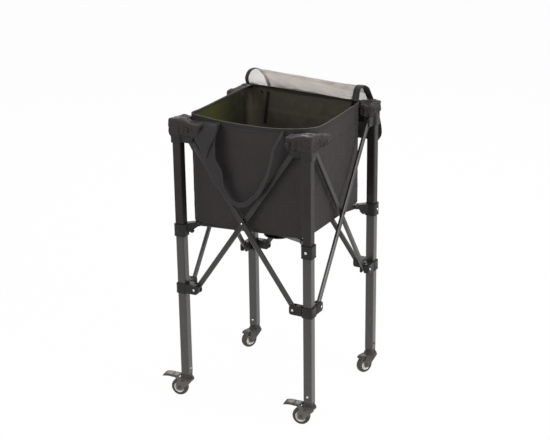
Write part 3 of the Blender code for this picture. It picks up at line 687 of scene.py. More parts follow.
@dataclass(frozen=True)
class Moulding(Finish):
    """Grained black plastic for brackets, collars and plugs."""

    colour: Colour = rgb(0.0095, 0.0086, 0.0082)
    scuff: Colour = rgb(0.050, 0.046, 0.042)
    roughness: float = 0.42
    specular: float = 0.26

    def lay(self, look: Look) -> None:
        """Lay the plastic's grain, scuffs and dust.

        Args:
            look: The new material.
        """
        room = look.place()
        grain = look.effect(EFFECTS.grain, Vector=room, Scale=1.0, Coarse=0.5)
        dust = look.effect(EFFECTS.dust, Vector=room, Reach=0.16, Amount=0.35)["Dust"]
        scuffs = look.patches(room, 130.0, 5.0, 0.72, 0.60, 0.74)
        colour = look.blend(look.times(scuffs, 0.45), self.colour, self.scuff)
        rough = look.step(grain["Tone"], 0.2, 0.8, self.roughness - 0.06, self.roughness + 0.10)
        look.set(Base_Color=look.blend(dust, colour, COURT_DUST), Roughness=rough, Specular_IOR_Level=self.specular)
        look.bump(grain["Height"], 0.00009, 0.7)


@dataclass(frozen=True)
class PressedSteel(Finish):
    """Pressed and coated sheet steel, with handling marks."""

    colour: Colour
    roughness: float
    metallic: float

    def lay(self, look: Look) -> None:
        """Lay the steel's tone, marks and dust.

        Args:
            look: The new material.
        """
        room = look.place()
        grain = look.effect(EFFECTS.grain, Vector=room, Scale=1.3, Coarse=0.8)
        dust = look.effect(EFFECTS.dust, Vector=room, Reach=0.075, Amount=0.5)["Dust"]
        marks = look.patches(room, 190.0, 5.0, 0.75, 0.55, 0.72)
        tone = look.blend(grain["Tone"], tint(self.colour, 0.72), self.colour)
        colour = look.blend(look.times(marks, 0.5), tone, tint(self.colour, 1.8, 0.02))
        look.set(
            Base_Color=look.blend(dust, colour, COURT_DUST),
            Roughness=look.step(marks, 0.0, 1.0, self.roughness + 0.04, self.roughness - 0.06),
            Metallic=look.maths("SUBTRACT", self.metallic, dust, clamp=True),
        )
        look.bump(grain["Height"], 0.00006, 0.5)


@dataclass(frozen=True)
class BrightZinc(Finish):
    """Zinc-plated screws and rivets."""

    colour: Colour = rgb(0.66, 0.65, 0.63)
    dull: Colour = rgb(0.40, 0.39, 0.37)

    def lay(self, look: Look) -> None:
        """Lay the plating's bloom.

        Args:
            look: The new material.
        """
        bloom = look.noise(look.place(), 700.0, 4.0, 0.7)
        look.set(
            Base_Color=look.blend(look.step(bloom, 0.35, 0.75), self.colour, self.dull),
            Roughness=look.step(bloom, 0.3, 0.8, 0.24, 0.42),
            Metallic=1.0,
        )
        look.bump(bloom, 0.00003, 0.4)


@dataclass(frozen=True)
class TyreRubber(Finish):
    """Grey-black solid tyre with a dusty tread."""

    colour: Colour = rgb(0.034, 0.032, 0.030)
    dust_colour: Colour = rgb(0.20, 0.185, 0.165)

    def lay(self, look: Look) -> None:
        """Lay the rubber's grain and dusty patches.

        Args:
            look: The new material.
        """
        room = look.place()
        grain = look.effect(EFFECTS.grain, Vector=room, Scale=0.7, Coarse=0.9)
        patchy = look.patches(room, 240.0, 5.0, 0.7, 0.40, 0.75)
        look.set(
            Base_Color=look.blend(look.times(patchy, 0.42), self.colour, self.dust_colour),
            Roughness=look.step(patchy, 0.0, 1.0, 0.50, 0.78),
            Specular_IOR_Level=0.3,
        )
        look.bump(grain["Height"], 0.00012, 0.8)


@dataclass(frozen=True)
class HubPlastic(Finish):
    """Off-white moulded wheel centre with patches of grime."""

    colour: Colour = rgb(0.80, 0.79, 0.76)
    grime: Colour = rgb(0.36, 0.34, 0.30)

    def lay(self, look: Look) -> None:
        """Lay the plastic's grain and grime.

        Args:
            look: The new material.
        """
        room = look.place()
        patchy = look.patches(room, 210.0, 5.0, 0.7, 0.52, 0.80)
        look.set(
            Base_Color=look.blend(look.times(patchy, 0.5), self.colour, self.grime),
            Roughness=look.step(patchy, 0.0, 1.0, 0.30, 0.55),
        )
        look.bump(look.effect(EFFECTS.grain, Vector=room, Scale=0.8, Coarse=0.4)["Height"], 0.00004, 0.4)


@dataclass(frozen=True)
class WovenNylon(Finish):
    """Tightly woven bag cloth on a map in metres, which may carry painted shade and painted light that change from the
    front to the back.
    """

    colour: Colour
    lift: Colour
    threads: float = 1250.0
    roughness: float = 0.62
    sheen: float = 0.06
    specular: float = 0.16
    # A painted shade, blended in by depth from in front of the legs' middle to behind it, for the shade towards the
    # back corners.
    middle: Colour | None = None
    # A painted light, blended in by depth just before the back panel, for light falling on the inside of the back
    # panel.
    far: Colour | None = None

    def lay(self, look: Look) -> None:
        """Lay the weave, the painted shade and painted light, the rubbed patches and the creases.

        Args:
            look: The new material.
        """
        cloth = look.cloth_place()
        weave = look.effect(EFFECTS.weave, Vector=cloth, Across=self.threads, Along=self.threads)
        rubbed = look.patches(cloth, 46.0, 5.0, 0.7, 0.50, 0.78)
        tone = look.blend(weave["Tone"], self.colour, self.lift)
        # Painted shade towards the back corners and painted light on the back panel, both set by depth in the cart.
        depth = look.split(look.place())[1]
        for shade, start, end in ((self.middle, -0.06, 0.07), (self.far, 0.116, 0.145)):
            if shade is not None:
                tone = look.blend(look.step(depth, MIDDLE.y + start, MIDDLE.y + end), tone, shade)
        look.set(
            Base_Color=look.blend(look.times(rubbed, 0.22), tone, tint(self.lift, 1.9, 0.006)),
            Roughness=look.step(weave["Tone"], 0.25, 0.75, self.roughness - 0.07, self.roughness + 0.07),
            Sheen_Weight=self.sheen,
            Sheen_Roughness=0.45,
            Specular_IOR_Level=self.specular,
        )
        creases = look.times(look.noise(cloth, 34.0, 4.0, 0.6), 2.2)
        look.bump(look.maths("ADD", weave["Height"], creases), 0.00022, 0.85)


@dataclass(frozen=True)
class Webbing(Finish):
    """Ribbed strap webbing and edge tape."""

    colour: Colour = rgb(0.016, 0.015, 0.0155)
    lift: Colour = rgb(0.034, 0.032, 0.033)
    ribs: float = 620.0
    fuzz: Colour = rgb(0.10, 0.095, 0.09)

    def lay(self, look: Look) -> None:
        """Lay the ribs and the fuzz.

        Args:
            look: The new material.
        """
        cloth = look.cloth_place()
        weave = look.effect(EFFECTS.weave, Vector=cloth, Across=self.ribs, Along=self.ribs * 0.42)
        fuzz = look.patches(cloth, 300.0, 4.0, 0.7, 0.50, 0.80)
        tone = look.blend(weave["Tone"], self.colour, self.lift)
        look.set(
            Base_Color=look.blend(look.times(fuzz, 0.30), tone, self.fuzz),
            Roughness=look.step(fuzz, 0.0, 1.0, 0.66, 0.86),
            Sheen_Weight=0.08,
            Sheen_Roughness=0.5,
            Specular_IOR_Level=0.15,
        )
        look.bump(weave["Height"], 0.00035, 0.9)


@dataclass(frozen=True)
class LidNet(Finish):
    """Pale diamond net with open holes."""

    colour: Colour = rgb(0.56, 0.50, 0.445)
    shade: Colour = rgb(0.40, 0.355, 0.315)
    cells: float = 330.0

    def lay(self, look: Look) -> None:
        """Lay the diamonds, their holes and the uneven tone.

        Args:
            look: The new material.
        """
        cloth = look.cloth_place()
        parts = look.split(cloth)
        waves = []
        for operation in ("ADD", "SUBTRACT"):
            turn = look.times(look.maths(operation, parts[0], parts[1]), self.cells * math.pi * 0.7071)
            waves.append(look.maths("ABSOLUTE", look.maths("SINE", turn)))
        cell = look.times(*waves)
        uneven = look.noise(cloth, 26.0, 4.0, 0.6)
        look.set(
            Base_Color=look.blend(look.step(uneven, 0.35, 0.70), self.colour, self.shade),
            Alpha=look.maths("SUBTRACT", 1.0, look.times(look.step(cell, 0.12, 0.28), 0.93)),
            Roughness=look.step(uneven, 0.3, 0.7, 0.72, 0.86),
            Sheen_Weight=0.15,
        )
        look.bump(look.maths("SUBTRACT", 1.0, cell), 0.0004, 0.8)


@dataclass(frozen=True)
class Thread(Finish):
    """Waxed sewing thread."""

    colour: Colour = rgb(0.036, 0.034, 0.034)

    def lay(self, look: Look) -> None:
        """Lay the twist.

        Args:
            look: The new material.
        """
        twist = look.noise(look.place(), 2600.0, 2.0, 0.5)
        look.set(Base_Color=look.blend(twist, self.colour, tint(self.colour, 1.7)),
                 Roughness=look.step(twist, 0.3, 0.7, 0.45, 0.65))
        look.bump(twist, 0.00010, 0.6)


class Finishes:
    """Every material that more than one piece wears, made once."""

    def __init__(self) -> None:
        """Mix the finishes."""
        self.moulding = Moulding().build("black moulding")
        self.fork_steel = PressedSteel(rgb(0.017, 0.0155, 0.014), 0.40, 0.2).build("fork steel")
        self.brake_steel = PressedSteel(rgb(0.085, 0.080, 0.073), 0.36, 0.45).build("brake fork steel")
        self.pedal_top = PressedSteel(rgb(0.20, 0.172, 0.155), 0.40, 0.3).build("pedal plate")
        # A near-black copy of the pedal steel for the pedal's turned-down edges, its groove and its ends: painted
        # shade.
        self.pedal_shaded_edge = PressedSteel(rgb(0.014, 0.0125, 0.0115), 0.42, 0.1).build("pedal edge")
        self.black_steel = PressedSteel(rgb(0.020, 0.0185, 0.0175), 0.36, 0.3).build("black steel")
        self.zinc = BrightZinc().build("bright zinc")
        self.tyre = TyreRubber().build("tyre rubber")
        self.hub = HubPlastic().build("white hub")
        self.outer = WovenNylon(rgb(0.0245, 0.0202, 0.0212), rgb(0.0325, 0.0270, 0.0275)).build("bag nylon")
        # The lining's olive is painted yellow-green light, as if bounced from tennis balls in the bag. Its middle
        # colour is painted shade towards the back corners, and its far colour is painted light on the inside of the
        # back panel.
        lining = WovenNylon(rgb(0.040, 0.041, 0.0125), rgb(0.054, 0.055, 0.0165), roughness=0.50, sheen=0.03,
                            middle=rgb(0.017, 0.0165, 0.0095), far=rgb(0.098, 0.089, 0.066))
        self.inner = lining.build("coated bag lining")
        self.webbing = Webbing().build("handle webbing")
        self.tape = Webbing(rgb(0.013, 0.012, 0.012), rgb(0.026, 0.024, 0.025), 900.0).build("edge tape")
        self.net = LidNet().build("lid net")
        self.thread = Thread().build("sewing thread")
        self.edge = Thread(rgb(0.074, 0.069, 0.052)).build("edge thread")


# ---- Mesh helpers ----


def add(name: str, mesh: bpy.types.Mesh | bpy.types.Camera | bpy.types.Light) -> Thing:
    """Put data in the scene as a new object.

    Args:
        name: The object's name.
        mesh: Its mesh, camera or lamp.

    Returns:
        The object.
    """
    item = bpy.data.objects.new(name, mesh)
    bpy.context.scene.collection.objects.link(item)
    return item


def link(name: str, bm: bmesh.types.BMesh, clean: bool = True) -> Thing:
    """A new object from a bmesh.

    Args:
        name: The object's name.
        bm: Its mesh, which is used up.
        clean: Whether to merge its double points and turn its faces outwards.

    Returns:
        The object.
    """
    if clean:
        bmesh.ops.remove_doubles(bm, verts=bm.verts, dist=1e-6)
        bmesh.ops.recalc_face_normals(bm, faces=bm.faces)
    mesh = bpy.data.meshes.new(name)
    bm.to_mesh(mesh)
    bm.free()
    return add(name, mesh)


def drop(item: Thing) -> None:
    """Remove a helper object."""
    bpy.data.objects.remove(item, do_unlink=True)


def move(item: Thing, by: Vector) -> Thing:
    """Move an object's mesh."""
    item.data.transform(Matrix.Translation(by))
    return item


def wear(item: Thing, *materials: Material) -> Thing:
    """Give an object these materials and no others.

    Args:
        item: The object.
        materials: What it wears, slot by slot.

    Returns:
        The same object.
    """
    item.data.materials.clear()
    for material in materials:
        item.data.materials.append(material)
    return item


def freeze(item: Thing) -> Thing:
    """Turn an object's modifiers into its plain mesh.

    Args:
        item: The object.

    Returns:
        The same object without modifiers.
    """
    graph = bpy.context.evaluated_depsgraph_get()
    made = bpy.data.meshes.new_from_object(item.evaluated_get(graph), depsgraph=graph)
    item.modifiers.clear()
    item.data = made
    return item


def rectangle(a_low: float, b_low: float, a_high: float, b_high: float) -> Outline:
    """The outline of a rectangle between two corners."""
    return [(a_low, b_low), (a_high, b_low), (a_high, b_high), (a_low, b_high)]


def prism(outline: Outline, low: float, high: float, along: Vector, across: Vector, up: Vector) -> Thing:
    """A solid with this outline in the plane of along and up.

    Args:
        outline: Points as (along, up).
        low: Where the solid starts across the plane.
        high: Where it ends.
        along: The outline's first way.
        across: The way the outline is drawn out.
        up: The outline's second way.

    Returns:
        The solid.
    """
    bm = bmesh.new()
    near = [bm.verts.new(along * a + up * b + across * low) for a, b in outline]
    far = [bm.verts.new(along * a + up * b + across * high) for a, b in outline]
    bm.faces.new(near)
    bm.faces.new(list(reversed(far)))
    for i in range(len(outline)):
        j = (i + 1) % len(outline)
        bm.faces.new((near[j], near[i], far[i], far[j]))
    return link("prism", bm)


def rounded(points: Sequence[tuple[float, float, float]], steps: int = 5) -> Outline:
    """An outline whose corners are arcs.

    Args:
        points: Each corner as (first, second, radius).
        steps: How many parts an arc has.

    Returns:
        The outline.
    """
    result: Outline = []
    for i, (a, b, radius) in enumerate(points):
        if radius <= 0.0:
            result.append((a, b))
            continue
        here = Vector((a, b))
        before = (Vector(points[i - 1][:2]) - here).normalized()
        after = (Vector(points[(i + 1) % len(points)][:2]) - here).normalized()
        half = before.angle(after) / 2
        cut_back = radius / math.tan(half)
        middle = here + (before + after).normalized() * (radius / math.sin(half))
        start, end = here + before * cut_back - middle, here + after * cut_back - middle
        turn = start.angle_signed(end)
        for k in range(steps + 1):
            point = middle + Matrix.Rotation(-turn * k / steps, 2) @ start
            result.append((point.x, point.y))
    return result


def rounded_square(half: float, corner: float, steps: int = 5) -> Outline:
    """The outline of a square with round corners."""
    signs = ((1, 1), (-1, 1), (-1, -1), (1, -1))
    return rounded([(sx * half, sy * half, corner) for sx, sy in signs], steps)


def lathe(profile: Sequence[tuple[float, float]], centre: Vector, axis: Vector, sides: int) -> Thing:
    """A turned solid.

    Args:
        profile: Points as (radius, place along the axis), whose last one joins the first.
        centre: Where the axis places are counted from.
        axis: The way of the axis.
        sides: How many sides the turning has.

    Returns:
        The solid.
    """
    way = axis.normalized()
    side = way.orthogonal().normalized()
    other = way.cross(side)
    bm = bmesh.new()
    rings = []
    for r, h in profile:
        ring = []
        for i in range(sides):
            turn = 2 * math.pi * i / sides
            spoke = side * math.cos(turn) + other * math.sin(turn)
            ring.append(bm.verts.new(centre + spoke * r + way * h))
        rings.append(ring)
    for here, there in zip(rings, rings[1:] + rings[:1]):
        for i in range(sides):
            j = (i + 1) % sides
            bm.faces.new((here[i], here[j], there[j], there[i]))
    return link("turned", bm)


def pin(radius: float, low: float, high: float, centre: Vector, axis: Vector, sides: int) -> Thing:
    """A plain round pin between two places along its axis."""
    return lathe([(0.0, low), (radius, low), (radius, high), (0.0, high)], centre, axis, sides)


def boss(radii: tuple[float, float], low: float, high: float, step: float, centre: Vector, axis: Vector) -> Thing:
    """A round boss whose two faces stand out with a slope.

    Args:
        radii: Its radius at the faces and at the foot of the slopes.
        low: Where its first slope starts.
        high: Where its second slope starts.
        step: How far the faces stand out from there.
        centre: Where the places are counted from.
        axis: The way of its axis.

    Returns:
        The boss.
    """
    small, wide = radii
    return lathe([(0.0, low - step), (small, low - step), (wide, low), (wide, high), (small, high + step),
                  (0.0, high + step)], centre, axis, 28)


def combine(base: Thing, others: Iterable[Thing], operation: str) -> Thing:
    """Join solids to the base or cut them out of it.

    Args:
        base: The solid that is kept.
        others: The solids that are used up.
        operation: UNION or DIFFERENCE.

    Returns:
        The base.
    """
    for other in others:
        step = base.modifiers.new("cut", "BOOLEAN")
        step.operation = operation
        step.solver = "EXACT"
        step.object = other
        freeze(base)
        drop(other)
    return base


def join(base: Thing, *others: Thing) -> Thing:
    """The base and the others as one solid."""
    return combine(base, others, "UNION")


def cut(base: Thing, *others: Thing) -> Thing:
    """The base with the others cut out of it."""
    return combine(base, others, "DIFFERENCE")


def gather(items: Sequence[Thing], name: str) -> Thing:
    """Several separate solids, which are used up, in one mesh.

    Args:
        items: The solids.
        name: The object's name.

    Returns:
        The object.
    """
    bm = bmesh.new()
    for item in items:
        bm.from_mesh(item.data)
        drop(item)
    return link(name, bm, clean=False)


def soften(item: Thing, width: float, segments: int = 2, angle: float = 32.0) -> Thing:
    """Round a solid's sharp edges.

    Args:
        item: The solid.
        width: How wide the rounding is.
        segments: How many parts it has.
        angle: Edges sharper than this many degrees are rounded.

    Returns:
        The same object.
    """
    bm = bmesh.new()
    bm.from_mesh(item.data)
    bmesh.ops.remove_doubles(bm, verts=bm.verts, dist=2e-6)
    bmesh.ops.dissolve_limit(bm, angle_limit=math.radians(1.0), verts=bm.verts, edges=bm.edges)
    bm.to_mesh(item.data)
    bm.free()
    step = item.modifiers.new("round", "BEVEL")
    step.width = width
    step.segments = segments
    step.limit_method = "ANGLE"
    step.angle_limit = math.radians(angle)
    step.use_clamp_overlap = True
    return freeze(item)


def finish(item: Thing, name: str, body: str, material: Material,
           stands_for: Sequence[str] = (), sharp: float = CRISP) -> Thing:
    """Put a finished piece in its place in the model.

    Args:
        item: The piece, drawn from the middle of the legs.
        name: The piece's name.
        body: The body that it rides on.
        material: What it wears, if it wears nothing yet.
        stands_for: The model's nodes that it replaces.
        sharp: Edges sharper than this many degrees stay crisp.

    Returns:
        The piece.
    """
    item.name = name
    item.data.name = name
    if not any(item.data.materials):
        wear(item, material)
    item.data.shade_smooth()
    item.data.set_sharp_from_angle(angle=math.radians(sharp))
    move(item, MIDDLE)
    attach(item, body)
    if stands_for:
        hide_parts(*stands_for)
    log.info("%s on %s", name, body)
    return item


def crumple(item: Thing, axis: Vector, anchor: Vector) -> None:
    """Give a finished cloth piece a mesh of its own."""
    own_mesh(item)


def lay_grid(grid: Grid, name: str, flip: bool = False) -> Thing:
    """An open sheet from rows of points, with its cloth map in metres.

    Args:
        grid: The points row by row, and each point's place on the flat cloth.
        name: The object's name.
        flip: Whether the sheet's other side faces out.

    Returns:
        The sheet, one layer thick.
    """
    bm = bmesh.new()
    layer = bm.loops.layers.uv.new("cloth")
    way = -1 if flip else 1
    rows = [[bm.verts.new(point) for point in row[::way]] for row in grid[0]]
    spots = {}
    for row, places in zip(rows, grid[1]):
        spots.update(zip(row, places[::way]))
    for here, there in zip(rows, rows[1:]):
        for i in range(len(here) - 1):
            made = bm.faces.new((here[i], here[i + 1], there[i + 1], there[i]))
            for loop in made.loops:
                loop[layer].uv = spots[loop.vert]
    return link(name, bm, clean=False)


def grid_of(count: int, columns: int, place: Callable[[int, int], tuple[Vector, tuple[float, float]]]) -> Grid:
    """A grid whose every point is worked out from its row and column.

    Args:
        count: How many strips the rows make.
        columns: How many strips the columns make.
        place: Gives a point and its place on the flat cloth for a row and a column.

    Returns:
        The grid.
    """
    rows, maps = [], []
    for i in range(count + 1):
        points, spots = zip(*(place(i, j) for j in range(columns + 1)))
        rows.append(list(points))
        maps.append(list(spots))
    return rows, maps


def thicken(item: Thing, thickness: float, offset: float = 0.0, lining: bool = False, smoothing: int = 0) -> Thing:
    """Give a sheet its thickness.

    Args:
        item: The sheet.
        thickness: How thick the cloth is.
        offset: -1 grows it inwards, 1 outwards and 0 both ways.
        lining: Whether the inner side wears the second material.
        smoothing: How many times the sheet is subdivided.

    Returns:
        The same object.
    """
    wall = item.modifiers.new("wall", "SOLIDIFY")
    wall.thickness = thickness
    wall.offset = offset
    wall.use_even_offset = False
    wall.material_offset = 1 if lining else 0
    wall.material_offset_rim = 0
    if smoothing:
        subdivide = item.modifiers.new("smooth", "SUBSURF")
        subdivide.levels = smoothing
        subdivide.render_levels = smoothing
    return freeze(item)


def flat_map(item: Thing) -> Thing:
    """Give a swept piece a simple cloth map from its own place.

    Args:
        item: The swept piece.

    Returns:
        The same object.
    """
    mesh = item.data
    layer = mesh.uv_layers.get("cloth") or mesh.uv_layers.new(name="cloth")
    for loop in mesh.loops:
        co = mesh.vertices[loop.vertex_index].co
        layer.data[loop.index].uv = (co.x + co.y, co.z)
    return item


def spline(points: Sequence[tuple[float, ...]], steps: int) -> list[tuple[float, ...]]:
    """A smooth line through points of any size.

    Args:
        points: What the line goes through.
        steps: How many parts there are between two points.

    Returns:
        The line, with both ends.
    """
    count = len(points)
    line = []
    for i in range(count - 1):
        four = [points[max(0, min(count - 1, i + k))] for k in (-1, 0, 1, 2)]
        for step in range(steps + (i == count - 2)):
            t = step / steps
            weights = (-0.5 * t + t * t - 0.5 * t ** 3, 1 - 2.5 * t * t + 1.5 * t ** 3,
                       0.5 * t + 2 * t * t - 1.5 * t ** 3, -0.5 * t * t + 0.5 * t ** 3)
            line.append(tuple(sum(w * p[k] for w, p in zip(weights, four)) for k in range(len(points[0]))))
    return line


def wrinkle(a: float, b: float, seed: float, octaves: int = 3) -> float:
    """Soft uneven folds from about -1 to 1.

    Args:
        a: The first place on the cloth, already scaled to folds.
        b: The second place.
        seed: Which of the patterns is read.
        octaves: How many finer layers are added.

    Returns:
        The height of the fold.
    """
    total, size, scale = 0.0, 1.0, 1.0
    for _ in range(octaves):
        total += size * noise.noise(Vector((a * scale, b * scale, seed)))
        size *= 0.5
        scale *= 2.1
    return total


def smooth(value: float) -> float:
    """A smooth step from 0 to 1."""
    held = min(1.0, max(0.0, value))
    return held * held * (3.0 - 2.0 * held)


def ways_along(points: Sequence[Vector]) -> list[Vector]:
    """From each point's neighbour before to its neighbour after."""
    last = len(points) - 1
    return [points[min(i + 1, last)] - points[max(i - 1, 0)] for i in range(len(points))]


STRAP_SECTION = (
    (-0.5, 0.0, 0.0), (-0.5, 0.4, 0.8), (-0.5, 1.0, 1.0), (-0.17, 0.0, 1.0), (0.17, 0.0, 1.0), (0.5, -1.0, 1.0),
    (0.5, -0.4, 0.8), (0.5, 0.0, 0.0), (0.5, -0.4, -0.8), (0.5, -1.0, -1.0), (0.17, 0.0, -1.0), (-0.17, 0.0, -1.0),
    (-0.5, 1.0, -1.0), (-0.5, 0.4, -0.8),
)
"""A strap's section: each point's share of its width, then its steps in and up in half thicknesses."""


def strap(points: Sequence[Vector], facings: Sequence[Vector], width: float | Sequence[float],
          thickness: float, name: str) -> Thing:
    """A flat strap with round edges along a line of points.

    Args:
        points: The strap's middle line.
        facings: The way that the strap's flat side looks at each point.
        width: The strap's width, or its width at each point.
        thickness: Its thickness.
        name: The object's name.

    Returns:
        The strap as a closed mesh with its cloth map.
    """
    lip, count = thickness / 2, len(STRAP_SECTION)
    widths = [width] * len(points) if isinstance(width, float) else list(width)
    bm = bmesh.new()
    layer = bm.loops.layers.uv.new("cloth")
    rings, lengths, run = [], [], 0.0
    for i, (point, along) in enumerate(zip(points, ways_along(points))):
        way = along.normalized()
        side = way.cross(facings[i]).normalized()
        out = side.cross(way).normalized()
        if i:
            run += (point - points[i - 1]).length
        lengths.append(run)
        rings.append([bm.verts.new(point + side * (share * widths[i] + edge * lip) + out * high * lip)
                      for share, edge, high in STRAP_SECTION])
    for k, (here, there) in enumerate(zip(rings, rings[1:])):
        for i in range(count):
            j = (i + 1) % count
            made = bm.faces.new((here[j], here[i], there[i], there[j]))
            for loop, (index, row) in zip(made.loops, ((j, k), (i, k), (i, k + 1), (j, k + 1))):
                loop[layer].uv = (STRAP_SECTION[index][0] * widths[row], lengths[row])
    for ring in (rings[0], rings[-1][::-1]):
        for loop in bm.faces.new(ring).loops:
            loop[layer].uv = (0.0, 0.0)
    return link(name, bm)


# ---- Geometry Nodes trees ----


class TreeSheet(NodeSheet):
    """A Geometry Nodes tree that takes and gives one geometry."""

    def __init__(self, name: str, **inputs: str) -> None:
        """Start a tree.

        Args:
            name: The tree's name.
            inputs: The socket type of each input between the geometry and the material.
        """
        super().__init__(bpy.data.node_groups.new(name, "GeometryNodeTree"))
        face = self.tree.interface
        for label, kind in {"Geometry": "Geometry", **inputs, "Material": "Material"}.items():
            face.new_socket(name=label, in_out="INPUT", socket_type="NodeSocket" + kind)
        face.new_socket(name="Geometry", in_out="OUTPUT", socket_type="NodeSocketGeometry")
        self.given = self.node("NodeGroupInput").outputs
        self.taken = self.node("NodeGroupOutput")

    def even_line(self, spacing: str) -> Socket:
        """The given edges as a curve, with points at the spacing that this input sets.

        Args:
            spacing: The input that sets how far apart the points are.

        Returns:
            The evened curve.
        """
        curve = self.wire(self.node("GeometryNodeMeshToCurve"), Mesh=self.given["Geometry"]).outputs["Curve"]
        even = self.node("GeometryNodeResampleCurve", mode="LENGTH")
        return self.wire(even, Curve=curve, Length=self.given[spacing]).outputs["Curve"]

    def align(self, way: Socket) -> Socket:
        """The rotation that turns Z to a way."""
        turn = self.node("FunctionNodeAlignRotationToVector", axis="Z")
        return self.wire(turn, Vector=way).outputs["Rotation"]

    def end(self, geometry: Socket) -> Tree:
        """Realise the instances, set the material, and give the finished tree.

        Args:
            geometry: What the tree has made.

        Returns:
            The tree.
        """
        real = self.wire(self.node("GeometryNodeRealizeInstances"), Geometry=geometry).outputs["Geometry"]
        paint = self.wire(self.node("GeometryNodeSetMaterial"), Geometry=real, Material=self.given["Material"])
        self.wire(self.taken, Geometry=paint.outputs["Geometry"])
        return self.tree


class Trees:
    """The Geometry Nodes trees, each made once."""

    def __init__(self) -> None:
        """Build every tree."""
        self.heads = self.build_heads()
        self.cord = self.build_cord()
        self.stitches = self.build_stitches()

    def build_heads(self) -> Tree:
        """Screw or rivet heads on points, each facing along the point's own way.

        Returns:
            The tree.
        """
        sheet = TreeSheet("heads on points", Head="Object", Size="Float")
        given = sheet.given
        info = sheet.node("GeometryNodeObjectInfo", transform_space="ORIGINAL")
        sheet.wire(info, Object=given["Head"], As_Instance=True)
        facing = sheet.wire(sheet.node("GeometryNodeInputNamedAttribute", data_type="FLOAT_VECTOR"), Name="facing")
        place = sheet.wire(sheet.node("GeometryNodeInstanceOnPoints"), Points=given["Geometry"],
                           Instance=info.outputs["Geometry"], Rotation=sheet.align(facing.outputs["Attribute"]),
                           Scale=given["Size"])
        return sheet.end(place.outputs["Instances"])

    def build_cord(self) -> Tree:
        """A round cord or a rolled hem along a line of edges.

        Returns:
            The tree.
        """
        sheet = TreeSheet("cord along a line", Radius="Float", Step="Float")
        ring = sheet.node("GeometryNodeCurvePrimitiveCircle", mode="RADIUS")
        sheet.wire(ring, Resolution=8, Radius=sheet.given["Radius"])
        sweep = sheet.wire(sheet.node("GeometryNodeCurveToMesh"), Curve=sheet.even_line("Step"),
                           Profile_Curve=ring.outputs["Curve"], Fill_Caps=True)
        return sheet.end(sweep.outputs["Mesh"])

    def build_stitches(self) -> Tree:
        """A row of stitches along a line of edges, each a little longer or shorter than the next.

        Returns:
            The tree.
        """
        sheet = TreeSheet("row of stitches", Pitch="Float", Length="Float", Radius="Float", Seed="Int")
        given = sheet.given
        way = sheet.node("GeometryNodeInputTangent").outputs["Tangent"]
        stitch = sheet.wire(sheet.node("GeometryNodeMeshCylinder", fill_type="NGON"), Vertices=6,
                            Radius=given["Radius"], Depth=given["Length"])
        vary = sheet.wire(sheet.node("FunctionNodeRandomValue", data_type="FLOAT_VECTOR"),
                          Min=(0.92, 0.92, 0.85), Max=(1.08, 1.08, 1.12), Seed=given["Seed"])
        place = sheet.wire(sheet.node("GeometryNodeInstanceOnPoints"), Points=sheet.even_line("Pitch"),
                           Instance=stitch.outputs["Mesh"], Rotation=sheet.align(way), Scale=vary.outputs["Value"])
        return sheet.end(place.outputs["Instances"])


TREES = Trees()


def line_object(lines: Iterable[Sequence[Vector]], closed: bool = False) -> Thing:
    """Lines of points as loose edges.

    Args:
        lines: The lines.
        closed: Whether each line's end joins its start.

    Returns:
        An object that a tree can run along.
    """
    points: list[Vector] = []
    edges: list[tuple[int, int]] = []
    for line in lines:
        first = len(points)
        points += line
        edges += [(i, i + 1) for i in range(first, len(points) - 1)]
        if closed:
            edges.append((len(points) - 1, first))
    mesh = bpy.data.meshes.new("line")
    mesh.from_pydata(points, edges, [])
    return add("line", mesh)


def grow(item: Thing, tree: Tree, material: Material, **values: object) -> Thing:
    """Run a tree on an object and keep the result as its plain mesh.

    Args:
        item: The points or lines that the tree starts from.
        tree: The tree.
        material: What the result wears.
        values: The tree's other inputs by name.

    Returns:
        The same object.
    """
    step = item.modifiers.new("grow", "NODES")
    step.node_group = tree
    values["Material"] = material
    for socket in tree.interface.items_tree:
        if socket.item_type == "SOCKET" and socket.in_out == "INPUT" and socket.name in values:
            step[socket.identifier] = values[socket.name]
    return freeze(item)


def cord(lines: Iterable[Sequence[Vector]], radius: float, spacing: float, material: Material,
         closed: bool = False) -> Thing:
    """Round cords along lines, with a ring at each spacing."""
    return grow(line_object(lines, closed), TREES.cord, material, Radius=radius, Step=spacing)


def stitch(lines: Iterable[Sequence[Vector]], pitch: float, length: float, radius: float, seed: int,
           material: Material) -> Thing:
    """Rows of stitches along lines."""
    return grow(line_object(lines), TREES.stitches, material, Pitch=pitch, Length=length, Radius=radius, Seed=seed)


# ---- Screw and rivet heads ----


class HeadKind(Enum):
    """The kinds of heads: each one's outline as (radius, height), and its number of sides."""

    RIVET = ((0.0, 0.42), (0.45, 0.40), (0.80, 0.29), (0.97, 0.12), (1.0, 0.0), (0.0, 0.0)), 16
    SCREW = ((0.0, 0.50), (0.55, 0.47), (0.86, 0.36), (1.0, 0.18), (1.0, 0.0), (0.0, 0.0)), 16
    NUT = ((0.0, 0.62), (0.78, 0.62), (1.0, 0.50), (1.0, 0.0), (0.0, 0.0)), 6


